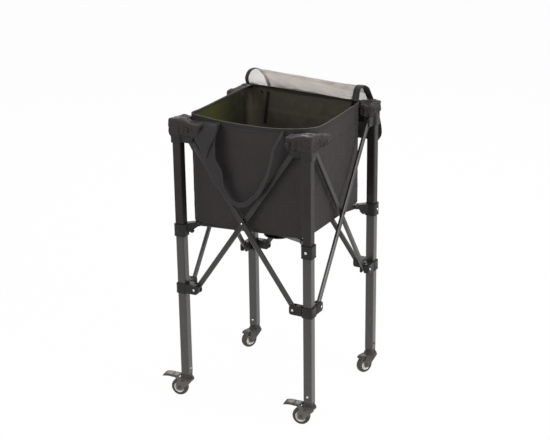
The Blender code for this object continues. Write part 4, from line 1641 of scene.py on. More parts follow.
class HeadStore:
    """Keeps where heads go until every piece is built, then sets them with one mesh for each body."""

    SHARP = 35.0
    BOLT_END = ((0.0, 0.92), (0.36, 0.90), (0.44, 0.80), (0.44, 0.55), (0.0, 0.55))

    def __init__(self) -> None:
        """Start with no heads."""
        self.spots: dict[tuple[str, HeadKind, float, bool], list[tuple[Vector, Vector]]] = {}

    def add(self, body: str, kind: HeadKind, place: Vector, facing: Vector, radius: float,
            bright: bool = False) -> None:
        """Note one head.

        Args:
            body: The body that it rides on.
            kind: Which head it is.
            place: Where its flat underside is.
            facing: The way that it looks.
            radius: Its radius.
            bright: Whether it is zinc-plated rather than black.
        """
        self.spots.setdefault((body, kind, radius, bright), []).append((place, facing))

    def pair(self, body: str, kind: HeadKind, middle: Vector, way: Vector, away: float, radius: float) -> None:
        """Note two black heads that look away from each other.

        Args:
            body: The body that they ride on.
            kind: Which heads they are.
            middle: The place between them.
            way: The way that the first one looks.
            away: How far each is from the middle.
            radius: Their radius.
        """
        for sign in (1, -1):
            self.add(body, kind, middle + way * sign * away, way * sign, radius)

    def shape(self, kind: HeadKind) -> Thing:
        """A head with a radius of one metre on the XY plane.

        Args:
            kind: Which head it is.

        Returns:
            The head, which the tree scales down.
        """
        profile, sides = kind.value
        head = lathe(profile, Vector(), UP, sides)
        if kind is HeadKind.SCREW:
            for along, across in ((X, Y), (Y, X)):
                cut(head, prism(rectangle(-0.52, 0.22, 0.52, 0.7), -0.11, 0.11, along, across, UP))
        if kind is HeadKind.NUT:
            join(head, lathe(self.BOLT_END, Vector(), UP, 12))
        head.data.shade_smooth()
        head.data.set_sharp_from_angle(angle=math.radians(self.SHARP))
        return head

    def set_all(self, zinc: Material, black: Material) -> None:
        """Set every head that was noted.

        Args:
            zinc: What the bright heads wear.
            black: What the others wear.
        """
        shapes = {kind: self.shape(kind) for kind in HeadKind}
        for index, ((body, kind, radius, bright), spots) in enumerate(self.spots.items()):
            material = zinc if bright else black
            mesh = bpy.data.meshes.new("points")
            mesh.from_pydata([place for place, _ in spots], [], [])
            facing = mesh.attributes.new("facing", "FLOAT_VECTOR", "POINT")
            for i, (_, way) in enumerate(spots):
                facing.data[i].vector = way
            item = grow(add("points", mesh), TREES.heads, material, Head=shapes[kind], Size=radius)
            name = f"{kind.name.lower()}_heads_{body}_{index}"
            finish(item, name, body, material, sharp=self.SHARP)
        for shape in shapes.values():
            drop(shape)


# ---- Painted frame ----


@dataclass
class PaintedFrame:
    """The legs, braces and floor arms, which keep the model's own meshes."""

    heads: HeadStore
    paint: TubePaint = field(default_factory=TubePaint)
    brace_rivet: float = 0.0050
    plug_rivet: float = 0.0036
    plug_rivet_rise: float = 0.016

    def build(self) -> None:
        """Dress every tube and note its rivets."""
        self.legs()
        self.braces()
        self.floor_arms()

    def dress(self, node: str, name: str, centre: Vector, turn: Matrix | None, size: tuple[float, float],
              use: tuple[float, float, tuple[float, float]]) -> None:
        """Paint one of the model's tubes.

        Args:
            node: The tube's node.
            name: The paint's name.
            centre: A point on the tube's middle line.
            turn: A rotation whose third column runs along the tube.
            size: The tube's width and depth.
            use: How scratched and how rubbed it is, and its polish above and below the collars.
        """
        scratches, rubbed, polish = use
        half = (size[0] / 2, size[1] / 2)
        wear(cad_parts[node], self.paint.build(name, centre=centre + MIDDLE, turn=turn, half=half,
                                                    scratches=scratches, rubbed=rubbed, polish=polish))
        log.info("%s painted", node)

    def legs(self) -> None:
        """Paint the legs and note the rivets of their plugs."""
        ways = {Corner.FRONT_LEFT: X, Corner.BACK_RIGHT: -X, Corner.FRONT_RIGHT: -Y, Corner.BACK_LEFT: -Y}
        for corner in Corner:
            self.dress(corner.leg, f"leg paint {corner.value}", corner.place, None,
                       (SIZES.leg_side, SIZES.leg_side), (0.75, 0.45, (0.12, 1.0)))
            way = ways[corner]
            place = corner.place + way * (SIZES.leg_side / 2 + 0.0002)
            self.heads.add(corner.leg, HeadKind.RIVET, place + UP * (SIZES.leg_bottom + self.plug_rivet_rise), way,
                           self.plug_rivet, True)

    def braces(self) -> None:
        """Paint the braces and note the rivets where they cross."""
        size = (SIZES.brace_width, SIZES.brace_thickness)
        for face in Face:
            first, second = face.ends
            for name, top, low in (("fall", first, second), ("rise", second, first)):
                outer = top is face.outer_top
                away = face.outward * (SIZES.layer if outer else -SIZES.layer)
                way = (low.place - top.place).normalized()
                start = top.place + way * SIZES.pin_in + UP * SIZES.top_pin_height + away
                end = low.place - way * SIZES.pin_in + UP * SIZES.low_pin_height + away
                node = f"brace_{face.value}_{name}"
                self.dress(node, f"brace paint {face.value} {name}", start,
                           tube_axes(face.outward, (end - start).normalized()), size, (0.4, 0.22, (0.35, 0.70)))
                if outer:
                    middle, half = (start + end) / 2, SIZES.brace_thickness / 2
                    for sign, far, share in ((1, half, 0.8), (-1, 2 * SIZES.layer + half + SIZES.gap, 1.0)):
                        self.heads.add(node, HeadKind.RIVET, middle + face.outward * sign * far, face.outward * sign,
                                       self.brace_rivet * share, face is Face.FRONT)

    def floor_arms(self) -> None:
        """Paint the arms under the bag's floor."""
        for corner in Corner:
            way = corner.inward
            along = way * math.cos(SIZES.arm_slope) - UP * math.sin(SIZES.arm_slope)
            self.dress("floor_arm_" + corner.value, f"arm paint {corner.value}", corner.arm_pivot,
                       tube_axes(way.cross(UP), along), (SIZES.arm_width, SIZES.arm_thickness),
                       (0.4, 0.25, (0.3, 0.3)))


def tube_axes(deep: Vector, along: Vector) -> Matrix:
    """A rotation whose second column is a tube's depth and whose third runs along it."""
    return Matrix((deep.cross(along), deep, along)).transposed()


# ---- Moulded brackets ----


@dataclass
class Brackets:
    """The top brackets, the sliding brackets, the middle collars, the plugs and the floor hub."""

    heads: HeadStore
    finishes: Finishes
    slider_low: float = 0.3065
    slider_height: float = 0.0275
    top_length: float = 0.0630
    arm_height_top: float = 0.0270
    arm_height_low: float = 0.0255
    tip_round: float = 0.010
    collar_low: float = 0.4675
    collar_height: float = 0.033
    rib: float = 0.0004
    edge: float = 0.0006
    bolt_head: float = 0.0034
    bolt_nut: float = 0.0040
    hub_radius: float = 0.040
    hub_pins: float = 0.030
    hub_wall: float = 0.003
    hub_ear: float = 0.0022

    def build(self) -> None:
        """Mould every bracket."""
        for corner in Corner:
            self.top(corner)
            self.slider(corner)
            self.collar(corner)
            wear(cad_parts["caster_plug_" + corner.value], self.finishes.moulding)
        self.hub()

    def mould(self, item: Thing, name: str, body: str) -> None:
        """Finish a moulding that takes the place of the node with this name."""
        finish(item, name + "_moulding", body, self.finishes.moulding, (name,))

    def sleeve(self, low: float, high: float, ribs: Sequence[tuple[float, float]], hollow_top: float,
               extras: Sequence[Thing] = ()) -> Thing:
        """A square sleeve with raised ribs and the extras joined on.

        Args:
            low: Its bottom.
            high: Its top.
            ribs: Each rib's bottom and top.
            hollow_top: The top of the leg's hollow.
            extras: Solids to join before the hollow is cut.

        Returns:
            The sleeve round the origin.
        """
        corner = SIZES.leg_corner + SIZES.sleeve_wall
        parts = [prism(rounded_square(SIZES.sleeve_out + extra, corner + extra), bottom, top, X, UP, Y)
                 for bottom, top, extra in ((low, high, 0.0), *((*band, self.rib) for band in ribs))]
        item = join(parts[0], *parts[1:], *extras)
        inner = rounded_square(SIZES.sleeve_in, SIZES.leg_corner * 0.6, 3)
        return soften(cut(item, prism(inner, low - PAST, hollow_top, X, UP, Y)), self.edge)

    def arm(self, along: Vector, outward: Vector, layer: float, pin_height: float, height: float,
            face: float) -> Thing:
        """One forked arm with a round tip and a boss on each cheek.

        Args:
            along: The way along the face.
            outward: The way that the face looks.
            layer: How far the arm stands off the leg's middle plane.
            pin_height: The height of its pin.
            height: How tall it is at the leg.
            face: How far its outer cheek's face stands off the arm's own middle plane.

        Returns:
            The arm, from the leg's middle line.
        """
        root = SIZES.sleeve_in + SIZES.sleeve_wall / 2
        tip = SIZES.pin_in + self.tip_round
        low, high = pin_height - height / 2, pin_height + height / 2
        outline = rounded([(root, low, 0.0), (tip, low, height * 0.27), (tip, high, height * 0.27),
                           (root, high, 0.0)])
        half = SIZES.clevis / 2
        item = prism(outline, -half, face, along, outward, UP)
        join(item, boss((0.0072, 0.0078), -half, face, 0.0005, along * SIZES.pin_in + UP * pin_height, outward))
        start = SIZES.pin_in - math.hypot(SIZES.brace_width / 2, 0.0054) - SIZES.slot_gap
        slot = rectangle(start, low - PAST, tip + PAST, high + PAST)
        cut(item, prism(slot, -SIZES.slot / 2, SIZES.slot / 2, along, outward, UP))
        return move(soften(item, 0.0007), outward * layer)

    def bracket(self, corner: Corner, name: str, sleeve: Thing, layer: float, pin_height: float,
                height: float) -> None:
        """Join a sleeve's two arms on, place it and note its bolts.

        Args:
            corner: The leg that it is on.
            name: The node that it stands for.
            sleeve: Its sleeve.
            layer: How far its arms stand off the leg's middle plane.
            pin_height: The height of its pins.
            height: How tall its arms are.
        """
        slides = name.startswith("slider")
        body = name if slides else corner.leg
        face = SIZES.sleeve_out - 0.0008 - layer if slides else SIZES.clevis / 2
        arms = [self.arm(along, outward, layer, pin_height, height, face) for along, outward in corner.arms]
        self.mould(move(gather([sleeve, *arms], name), corner.place), name, body)
        for along, outward in corner.arms:
            middle = corner.place + along * SIZES.pin_in + UP * pin_height + outward * layer
            self.heads.add(body, HeadKind.SCREW, middle + outward * (face + 0.0004), outward, self.bolt_head, slides)
            self.heads.add(body, HeadKind.NUT, middle - outward * (SIZES.clevis / 2 + 0.0004), -outward,
                           self.bolt_nut)

    def top(self, corner: Corner) -> None:
        """The bracket on a leg's top.

        Args:
            corner: The leg that it is on.
        """
        high = SIZES.cap_top
        sleeve = self.sleeve(high - self.top_length, high, (), high - SIZES.cap_thickness)
        self.bracket(corner, "top_bracket_" + corner.value, sleeve, corner.stand_off, SIZES.top_pin_height,
                     self.arm_height_top)

    def slider(self, corner: Corner) -> None:
        """The bracket that slides on a leg's lower half.

        Args:
            corner: The leg that it is on.
        """
        low, high = self.slider_low, self.slider_low + self.slider_height
        sleeve = self.sleeve(low, high, ((low + 0.002, low + 0.0045), (high - 0.0045, high - 0.002)), high + PAST)
        self.bracket(corner, "slider_" + corner.value, sleeve, -corner.stand_off, SIZES.low_pin_height,
                     self.arm_height_low)

    def fork(self, way: Vector) -> Thing:
        """A collar's fork for a floor arm.

        Args:
            way: The level way to the middle of the cart.

        Returns:
            The fork, from the leg's middle line.
        """
        low, high = self.collar_low, self.collar_low + self.collar_height
        side, pivot, height = way.cross(UP), SIZES.arm_pivot_reach, SIZES.arm_pivot_height
        root, half = SIZES.leg_side / 2, SIZES.clevis / 2
        tip = pivot + SIZES.arm_width / 2 + SIZES.slot_gap
        under = height - SIZES.arm_width / 2 - SIZES.slot_gap
        above = height + SIZES.arm_width / 2 / math.cos(SIZES.arm_slope)
        top_tip = above - (tip - pivot) * math.tan(SIZES.arm_slope)
        outline = rounded([(root, low + SIZES.sleeve_wall, 0.0), (pivot - 0.004, under, 0.006),
                           (tip, under + 0.0022, 0.0035), (tip, top_tip, 0.0035),
                           (pivot - 0.003, high, 0.004), (root, high, 0.0)])
        item = join(prism(outline, -half, half, way, side, UP),
                    boss((0.0058, 0.0066), -half, half, 0.0006, way * pivot + UP * height, side),
                    boss((0.0050, 0.0060), -half, half, 0.0012, way * (root + 0.0145) + UP * (low + 0.0105), side))
        start = pivot - math.hypot(SIZES.arm_width / 2, 0.0037) - SIZES.slot_gap
        slot = rectangle(start, low - PAST, tip + PAST, high + PAST)
        return cut(item, prism(slot, -SIZES.slot / 2, SIZES.slot / 2, way, side, UP))

    def collar(self, corner: Corner) -> None:
        """The screwed collar on a leg's middle. The right ones are drawn as the left ones and mirrored.

        Args:
            corner: The leg that it is on.
        """
        low, high = self.collar_low, self.collar_low + self.collar_height
        front = corner.signs[1] < 0
        outward = -Y if front else -X
        middle = UP * (low + self.collar_height / 2)
        out = SIZES.sleeve_out
        screwed = lathe([(0.0, SIZES.sleeve_in), (0.0066, SIZES.sleeve_in), (0.0066, out + 0.0005),
                         (0.0058, out + 0.0010), (0.0, out + 0.0010)], middle, outward, 28)
        fork = self.fork((Corner.FRONT_LEFT if front else Corner.BACK_LEFT).inward)
        item = self.sleeve(low, high, ((low, low + 0.0024), (high - 0.0024, high)), high + PAST, (fork, screwed))
        if corner.signs[0] > 0:
            item.data.transform(Matrix.Scale(-1.0, 4, X))
            item.data.flip_normals()
            outward = Vector((-outward.x, outward.y, 0.0))
        self.mould(move(item, corner.place), "collar_" + corner.value, corner.leg)
        self.heads.add(corner.leg, HeadKind.SCREW, corner.place + middle + outward * (out + 0.0008), outward, 0.0038,
                       corner is not Corner.FRONT_LEFT)
        self.heads.pair(corner.leg, HeadKind.RIVET, corner.arm_pivot, corner.inward.cross(UP), SIZES.clevis / 2,
                        0.0040)

    def hub(self) -> None:
        """The round plate where the floor arms meet, with a fork for each arm's end."""
        reach = math.sqrt(2) * (SIZES.half - SIZES.arm_pivot_in)
        length = (reach - self.hub_pins) / math.cos(SIZES.arm_slope)
        height = SIZES.arm_pivot_height - length * math.sin(SIZES.arm_slope)
        top = -math.hypot(SIZES.arm_width / 2, 0.0037) - SIZES.gap
        low, rim = top - self.hub_wall, self.hub_radius
        plate = lathe([(0.0, low), (rim - 0.0015, low), (rim, low + 0.0009), (rim, top - 0.0009),
                       (rim - 0.0015, top), (0.013, top), (0.011, top + 0.0012), (0.0, top + 0.0012)],
                      Vector(), UP, 56)
        for radius in (0.012, 0.033):
            join(plate, lathe(rectangle(radius - 0.001, low - 0.0006, radius + 0.001, low + 0.001), Vector(), UP, 56))
        half = SIZES.slot / 2 + self.hub_ear
        for corner in Corner:
            out = -corner.inward
            side = out.cross(UP)
            outline = rounded([(0.024, low + 0.0015, 0.0), (0.0375, low + 0.0015, 0.0), (0.0375, 0.0046, 0.004),
                               (0.024, 0.0046, 0.003)], 4)
            ears = prism(outline, -half, half, out, side, UP)
            slot = rectangle(0.014, top, 0.048, 0.02)
            join(plate, cut(ears, prism(slot, -SIZES.slot / 2, SIZES.slot / 2, out, side, UP)))
            self.heads.pair("floor_hub", HeadKind.RIVET, out * self.hub_pins + UP * height, side, half, 0.0036)
        self.mould(move(soften(plate, 0.0005), UP * height), "floor_hub", "floor_hub")


# ---- Casters ----


@dataclass
class Caster:
    """One swivel caster with its fork, wheel and, on the front legs, a brake pedal."""

    corner: Corner
    heads: HeadStore
    finishes: Finishes
    wheel_radius: float = 0.024
    tyre_width: float = 0.016
    tyre_depth: float = 0.0075
    tread_round: float = 0.0042
    tread_steps: int = 12
    hub_half: float = 0.009
    trail: float = 0.022
    plate: float = 0.002
    side_gap: float = 0.0006
    crown_radius: float = 0.0165
    crown_low: float = 0.0505
    crown_plate: float = 0.0025
    stem_hole: float = 0.0068
    race_top: float = 0.0600
    axle: float = 0.003
    axle_nut: float = 0.0047
    pedal_reach: float = 0.068
    pedal_sheet: float = 0.0018
    pedal_gap: float = 0.0003
    pedal_start: float = 0.0184
    pedal_rise: float = 0.0595

    @property
    def back(self) -> Vector:
        """The way that the wheel trails."""
        return Vector((math.cos(self.corner.heading), math.sin(self.corner.heading), 0.0))

    @property
    def side(self) -> Vector:
        """The way of the axle."""
        return self.back.cross(UP)

    @property
    def fork_in(self) -> float:
        """Where the fork's cheeks start."""
        return self.hub_half + self.side_gap

    @property
    def fork_out(self) -> float:
        """Where the fork's cheeks end."""
        return self.fork_in + self.plate

    @property
    def axle_at(self) -> Vector:
        """The middle of the axle."""
        return self.corner.place + self.back * self.trail + UP * self.wheel_radius

    @property
    def pedal_pivot(self) -> Vector:
        """The middle of the pedal's pivot, from the leg's middle line."""
        return self.back * 0.010 + UP * 0.047

    @property
    def body(self) -> str:
        """The body that swivels."""
        return "caster_" + self.corner.value

    def build(self) -> None:
        """Build the caster's pieces."""
        self.fork()
        self.bearing()
        self.wheel()
        if self.corner.braked:
            self.pedal_plate()
            self.pedal_lugs()

    def profile(self, outline: Outline, low: float, high: float) -> Thing:
        """A plate with this outline as (place back, height), between two places along the axle."""
        return prism(outline, low, high, self.back, self.side, UP)

    def fork(self) -> None:
        """The pressed fork: two cheeks, a crown, and a lip behind or the pedal's pivot."""
        back, side, name = self.back, self.side, self.corner.value
        low, high = self.crown_low, self.crown_low + self.crown_plate
        axle, trail, lip = self.wheel_radius, self.trail, self.trail * 0.93
        cheek = rounded([(-0.0155, high, 0.002), (-0.0158, low - 0.0045, 0.004),
                         (trail - 0.0125, axle - 0.0030, 0.008), (trail - 0.0080, axle - 0.0078, 0.0065),
                         (trail + 0.0070, axle - 0.0078, 0.0065), (trail + 0.0085, axle + 0.006, 0.009),
                         (trail + 0.0035, low - 0.006, 0.012), (trail + 0.0005, high, 0.002)])
        crown = rounded([(-0.0162, -self.fork_out, 0.007), (lip, -self.fork_out, 0.0015),
                         (lip, self.fork_out, 0.0015), (-0.0162, self.fork_out, 0.007)])
        cheeks = [self.profile(cheek, self.fork_in, self.fork_out), self.profile(cheek, -self.fork_out, -self.fork_in)]
        item = join(prism(crown, low, high, back, UP, side), *cheeks)
        if self.corner.braked:
            reach = self.fork_out + self.pedal_gap + self.pedal_sheet * 1.2
            join(item, pin(0.0026, -reach, reach, self.pedal_pivot, side, 16))
        else:
            line = [(trail * 0.90, high), (0.0290, high - 0.0006), (0.0350, high - 0.0022),
                    (0.0385, high - 0.0048), (0.0395, high - 0.0090), (0.0372, high - 0.0098),
                    (0.0358, high - 0.0068), (0.0330, high - 0.0046), (0.0280, high - 0.0032),
                    (trail * 0.90, high - 0.0024)]
            join(item, self.profile(line, -self.fork_in - 0.0014, self.fork_in + 0.0014))
        cut(item, pin(self.stem_hole, low - PAST, low + 2 * PAST, Vector(), UP, 24))
        move(soften(item, 0.0006, angle=40.0), self.corner.place)
        metal = self.finishes.brake_steel if self.corner.braked else self.finishes.fork_steel
        finish(item, "fork_plates_" + name, self.body, metal, ("fork_" + name,))
        self.heads.pair(self.body, HeadKind.NUT, self.axle_at, -side, self.fork_out, self.axle_nut)

    def bearing(self) -> None:
        """The dark bearing cup between the fork and the leg, and the axle through the wheel."""
        low, top = self.crown_low - 0.0010, self.race_top
        seat = self.crown_low + 0.0030
        r = self.crown_radius + 0.0012
        profile = [(r - 0.0030, low), (r - 0.0008, low + 0.0009), (r, low + 0.0030), (r, low + 0.0048),
                   (r - 0.0008, low + 0.0068), (r - 0.0030, low + 0.0080), (0.0128, low + 0.0084),
                   (0.0122, top - 0.0004), (0.0118, top - 0.0001), (0.0043, top - 0.0001), (0.0043, seat),
                   (r - 0.0030, seat)]
        cup = lathe(profile, self.corner.place, UP, 48)
        reach = self.fork_in + 0.0004
        axle = pin(self.axle, -reach, reach, self.axle_at, self.side, 20)
        finish(cup, "bearing_cup_" + self.corner.value, self.body, self.finishes.moulding)
        finish(axle, "axle_" + self.corner.value, self.body, self.finishes.zinc)

    def wheel(self) -> None:
        """The solid tyre on its white centre."""
        name, half = self.corner.value, self.tyre_width / 2
        inner = self.wheel_radius - self.tyre_depth
        tread: Outline = [(inner + 0.0001, -half + 0.0006), (inner + 0.0012, -half)]
        for i in range(self.tread_steps + 1):
            turn = math.pi * (i / self.tread_steps - 0.5)
            tread.append((self.wheel_radius - self.tread_round + self.tread_round * math.cos(turn) ** 0.7,
                          half * math.sin(turn)))
        tread += [(inner + 0.0012, half), (inner + 0.0001, half - 0.0006)]
        tyre = lathe(tread, self.axle_at, self.side, 64)
        body = "wheel_" + name
        finish(tyre, "tyre_rubber_" + name, body, self.finishes.tyre, ("tyre_" + name,), 50.0)
        rim, hub = inner - 0.0001, self.hub_half
        dish: Outline = [(self.axle + 0.0003, -hub), (0.0056, -hub), (0.0064, -hub + 0.0008),
                         (0.0070, -half * 0.62), (0.0082, -half * 0.50), (rim - 0.0042, -half * 0.50),
                         (rim - 0.0030, -half * 0.62), (rim - 0.0022, -half + 0.0004), (rim - 0.0016, -half),
                         (rim - 0.0004, -half), (rim, -half + 0.0005)]
        dish += [(a, -b) for a, b in reversed(dish)]
        centre = wear(lathe(dish, self.axle_at, self.side, 64), self.finishes.hub, self.finishes.tyre)
        for poly in centre.data.polygons:
            spoke = poly.center - self.axle_at
            away = (spoke - self.side * spoke.dot(self.side)).length
            poly.material_index = 1 if away > rim - 0.0019 or away < 0.0066 else 0
        finish(centre, "wheel_centre_" + name, body, self.finishes.hub, ("wheel_hub_" + name,), 40.0)

    def pedal_plate(self) -> None:
        """The brake pedal's pressed plate, with turned-down edges and a curled tip."""
        back, side, rise, reach = self.back, self.side, self.pedal_rise, self.pedal_reach
        out = self.fork_out + self.pedal_gap + self.pedal_sheet
        line = [(self.pedal_start, 0.0), (0.026, 0.0007), (0.032, 0.0011), (0.0368, 0.0012), (0.0386, 0.0002),
                (0.0402, 0.0014), (0.048, 0.0020), (0.054, 0.0019), (0.060, 0.0010), (0.0640, -0.0002),
                (reach - 0.0010, -0.0016), (reach, -0.0034)]
        rows, maps = [], []
        for a, b in line:
            widen = 0.0022 * smooth((a - 0.030) / 0.02) - 0.0022 * smooth((a - 0.060) / 0.01)
            half = out - 0.0006 + min(0.0, widen)
            drop_by = 0.0060 - 0.0020 * smooth((a - 0.060) / 0.008) + 0.0030 * smooth((0.034 - a) / 0.010)
            edge = [(half + 0.0006, -drop_by), (half + 0.0005, -0.0016), (half - 0.0006, -0.0005),
                    (half - 0.0026, 0.0), (half * 0.4, 0.0002)]
            section = [(-s, h) for s, h in edge] + edge[::-1]
            rows.append([back * a + side * s + UP * (rise + b + h) for s, h in section])
            maps.append([(s, a) for s, _ in section])
        sheet = wear(lay_grid((rows, maps), "pedal"), self.finishes.pedal_top, self.finishes.pedal_shaded_edge)
        # The turned-down edges, the groove across and both ends wear the near-black pedal steel as painted shade.
        for poly in sheet.data.polygons:
            away, along = abs(poly.center.dot(side)), poly.center.dot(back)
            rim = away > out - 0.0044 or along > reach - 0.0070 or 0.0368 < along < 0.0402 or along < 0.026
            poly.material_index = 1 if rim else 0
        thicken(sheet, 0.0026, -1.0, smoothing=1)
        bm = bmesh.new()
        bm.from_mesh(sheet.data)
        bmesh.ops.recalc_face_normals(bm, faces=bm.faces)
        bm.to_mesh(sheet.data)
        bm.free()
        body = "brake_pedal_" + self.corner.value
        move(sheet, self.corner.place)
        finish(sheet, "pedal_plate_" + self.corner.value, body, self.finishes.pedal_top, (body,))

    def pedal_lugs(self) -> None:
        """The pedal's two lugs beside the fork, with the heads of its pivot."""
        start, rise = self.pedal_start, self.pedal_rise
        near = self.fork_out + self.pedal_gap
        far = near + self.pedal_sheet
        outline = rounded([(0.0055, 0.0425, 0.0042), (0.0150, 0.0425, 0.0042), (0.0400, rise - 0.0010, 0.004),
                           (start, rise - 0.0010, 0.0), (start, rise - 0.0034, 0.002), (0.0055, 0.0515, 0.0042)])
        lugs = [soften(cut(self.profile(outline, low, high), pin(0.0029, -0.03, 0.03, self.pedal_pivot, self.side, 16)),
                       0.0004, angle=40.0) for low, high in ((-far, -near), (near, far))]
        body = "brake_pedal_" + self.corner.value
        item = move(gather(lugs, "lugs"), self.corner.place)
        finish(item, "pedal_lugs_" + self.corner.value, body, self.finishes.brake_steel)
        self.heads.pair(body, HeadKind.RIVET, self.corner.place + self.pedal_pivot, -self.side, far - 0.0002, 0.0036)


# ---- Bag ----


RIMS = {
    Face.FRONT: (0.7925, 0.7842, 0.7812, 0.7822, 0.7890),
    Face.LEFT: (0.7925, 0.7935, 0.7962, 0.7982, 0.7980),
    Face.RIGHT: (0.7890, 0.7776, 0.7790, 0.7835, 0.7870),
    Face.BACK: (0.7980, 0.7905, 0.7868, 0.7858, 0.7870),
}
"""Each rim's height at five even places from its first corner to its second."""


def lid_droop(x: float) -> float:
    """How far the fold between the lid and the back lip hangs at a place across the cart."""
    return 0.0105 * smooth((x + 0.01) / 0.17)


@dataclass
class Bag:
    """The hung bag: four sides cut from one lofted shell, a hung floor, tapes, hems and corner seams."""

    finishes: Finishes
    corner_round: float = 0.026
    hem_height: float = 0.0605
    hem_step: float = 0.0016
    corner_pull: float = 0.0062
    back_lift: float = 0.0072
    bulge: float = 0.0062
    cloth: float = 0.0016
    columns: int = 96
    rows: int = 60
    tape_width: float = 0.013
    floor_count: int = 34
    floor_sewn: float = 0.030
    lip_inset: float = 0.006
    lip_columns: int = 80
    lip_rows: int = 18

    @property
    def straight(self) -> float:
        """Half the straight part of a side."""
        return SIZES.bag_half - self.corner_round

    @property
    def reach(self) -> float:
        """Half a side's length along the cloth, to the middle of its round corners."""
        return self.straight + self.corner_round * math.pi / 4

    def outline(self, run: float) -> tuple[float, float]:
        """A point of the rounded square on one side.

        Args:
            run: The distance along the cloth from the side's middle.

        Returns:
            The place along the side, and how far it turns in from the flat side.
        """
        if abs(run) <= self.straight:
            return run, 0.0
        turn = (abs(run) - self.straight) / self.corner_round
        place = self.straight + self.corner_round * math.sin(turn)
        return math.copysign(place, run), self.corner_round * (1.0 - math.cos(turn))

    def rim_height(self, face: Face, share: float) -> float:
        """The height of the rim, which sags between the corner pockets.

        Args:
            face: Which side of the bag.
            share: The place across the side, from -1 to 1.

        Returns:
            The height.
        """
        heights = RIMS[face]
        at = min(3.9999, max(0.0, (share + 1.0) * 2.0))
        k = int(at)
        near = [heights[min(4, max(0, k + i))] for i in (-1, 0, 1, 2)]
        t = at - k
        rise, fall = (near[2] - near[0]) / 2, (near[3] - near[1]) / 2
        return ((2 * t ** 3 - 3 * t ** 2 + 1) * near[1] + (t ** 3 - 2 * t ** 2 + t) * rise
                + (3 * t ** 2 - 2 * t ** 3) * near[2] + (t ** 3 - t ** 2) * fall)

    def bottom_height(self, face: Face, share: float) -> float:
        """The height of the bottom edge, which hangs a little and climbs towards the back right corner.

        Args:
            face: The face of the bag.
            share: The place along the face, from -1 to 1.

        Returns:
            The height.
        """
        sag = (0.0032 if face is Face.FRONT else 0.0012) * (1.0 - share * share)
        climb = self.back_lift * (share + 1.0) / 2 if face in (Face.RIGHT, Face.BACK) else 0.0
        return SIZES.bag_bottom + 0.0008 - sag + climb

    def push(self, face: Face, share: float, rise: float) -> float:
        """How far the cloth stands out from the flat side.

        Args:
            face: Which side of the bag.
            share: The place across the side, from -1 to 1.
            rise: The place up the side, from 0 to 1.

        Returns:
            The distance outwards.
        """
        hold = (1.0 - share ** 4) * smooth((1.0 - abs(share)) * 6.0)
        belly = self.bulge * hold * math.sin(math.pi * min(1.0, rise * 0.92 + 0.04)) ** 0.8
        seed = {"front": 3.7, "left": 11.2, "right": 23.9, "back": 41.3}[face.value]
        long_folds = wrinkle(share * 2.6 + rise * 0.8, rise * 1.5, seed, 2) * (0.0012 if face is Face.RIGHT else 0.0024)
        deep = 3.2 if face is Face.BACK else 1.0
        small = wrinkle(share * 7.0 - rise * 2.0, rise * 6.0, seed + 5.0, 3) * 0.0008 * deep
        pull = 0.0
        for corner_share in SIDES:
            away_x, away_z = abs(share - corner_share), 1.0 - rise
            angle = math.atan2(away_z * 1.1, away_x + 0.02)
            spread = math.hypot(away_x, away_z)
            fan = math.sin(angle * 9.0 + corner_share) * math.exp(-spread * 3.2)
            pull += 0.0007 * deep * fan * smooth(spread * 5.0)
            low = math.hypot(away_x, rise)
            pull += 0.0006 * math.sin(math.atan2(rise, away_x + 0.02) * 9.0) * math.exp(-low * 4.0)
        edges = smooth(rise * 7.0) * smooth((1.0 - rise) * 9.0)
        return belly + (long_folds + small + pull) * hold * edges

    def point(self, face: Face, run: float, height: float) -> Vector:
        """A point of the shell.

        Args:
            face: Which side of the bag.
            run: The distance along the cloth from the side's middle.
            height: Its height.

        Returns:
            The point, from the middle of the legs.
        """
        share = run / self.reach
        place, inset = self.outline(run)
        low, high = self.bottom_height(face, share), self.rim_height(face, share)
        rise = (height - low) / (high - low)
        out = SIZES.bag_half - self.cloth - inset + self.push(face, share, rise)
        if face is not Face.FRONT:
            out += self.hem_step * smooth((height - (high - self.hem_height)) / 0.0030)
        spot = face.along * place + face.outward * out + UP * height
        pulled = Corner.FRONT_LEFT
        away = (spot - pulled.place * (SIZES.bag_half / SIZES.half)).xy.length
        return spot - pulled.inward * (self.corner_pull * smooth(1.0 - away / 0.05))

    def runs(self, inward: float = 0.0) -> list[float]:
        """Even distances along a side's cloth, which stop short of its ends by this much."""
        return [(self.reach - inward) * (2.0 * j / self.columns - 1.0) for j in range(self.columns + 1)]

    def rim_points(self, face: Face, drop_by: float, lift: float, inward: float = 0.0) -> list[Vector]:
        """A line along one side at a distance below its rim.

        Args:
            face: Which side.
            drop_by: How far below the rim.
            lift: How far outside the cloth.
            inward: How far the line stops short of the side's ends.

        Returns:
            The line's points.
        """
        return [self.point(face, run, self.rim_height(face, run / self.reach) - drop_by) + face.outward * lift
                for run in self.runs(inward)]

    def build(self) -> None:
        """Sew the bag."""
        for face in Face:
            self.side(face)
            self.trims(face)
        for corner in Corner:
            self.corner_seam(corner)
            self.floor(corner)
        self.lip()
        self.lip_tapes()

    def fold(self, item: Thing, face: Face) -> None:
        """Give a side's piece a mesh of its own."""
        crumple(item, face.along, Vector((-SIZES.bag_half, -SIZES.bag_half, 0.0)))

    def sew(self, item: Thing, name: str, face: Face, material: Material,
            sharp: float = CLOTH) -> None:
        """Finish a piece of one side and give it a mesh of its own."""
        finish(item, name, face.cloth_body, material, sharp=sharp)
        self.fold(item, face)

    def side(self, face: Face) -> None:
        """One side of the shell, lined with the coated face of the cloth.

        Args:
            face: The face of the bag.
        """
        runs = self.runs()

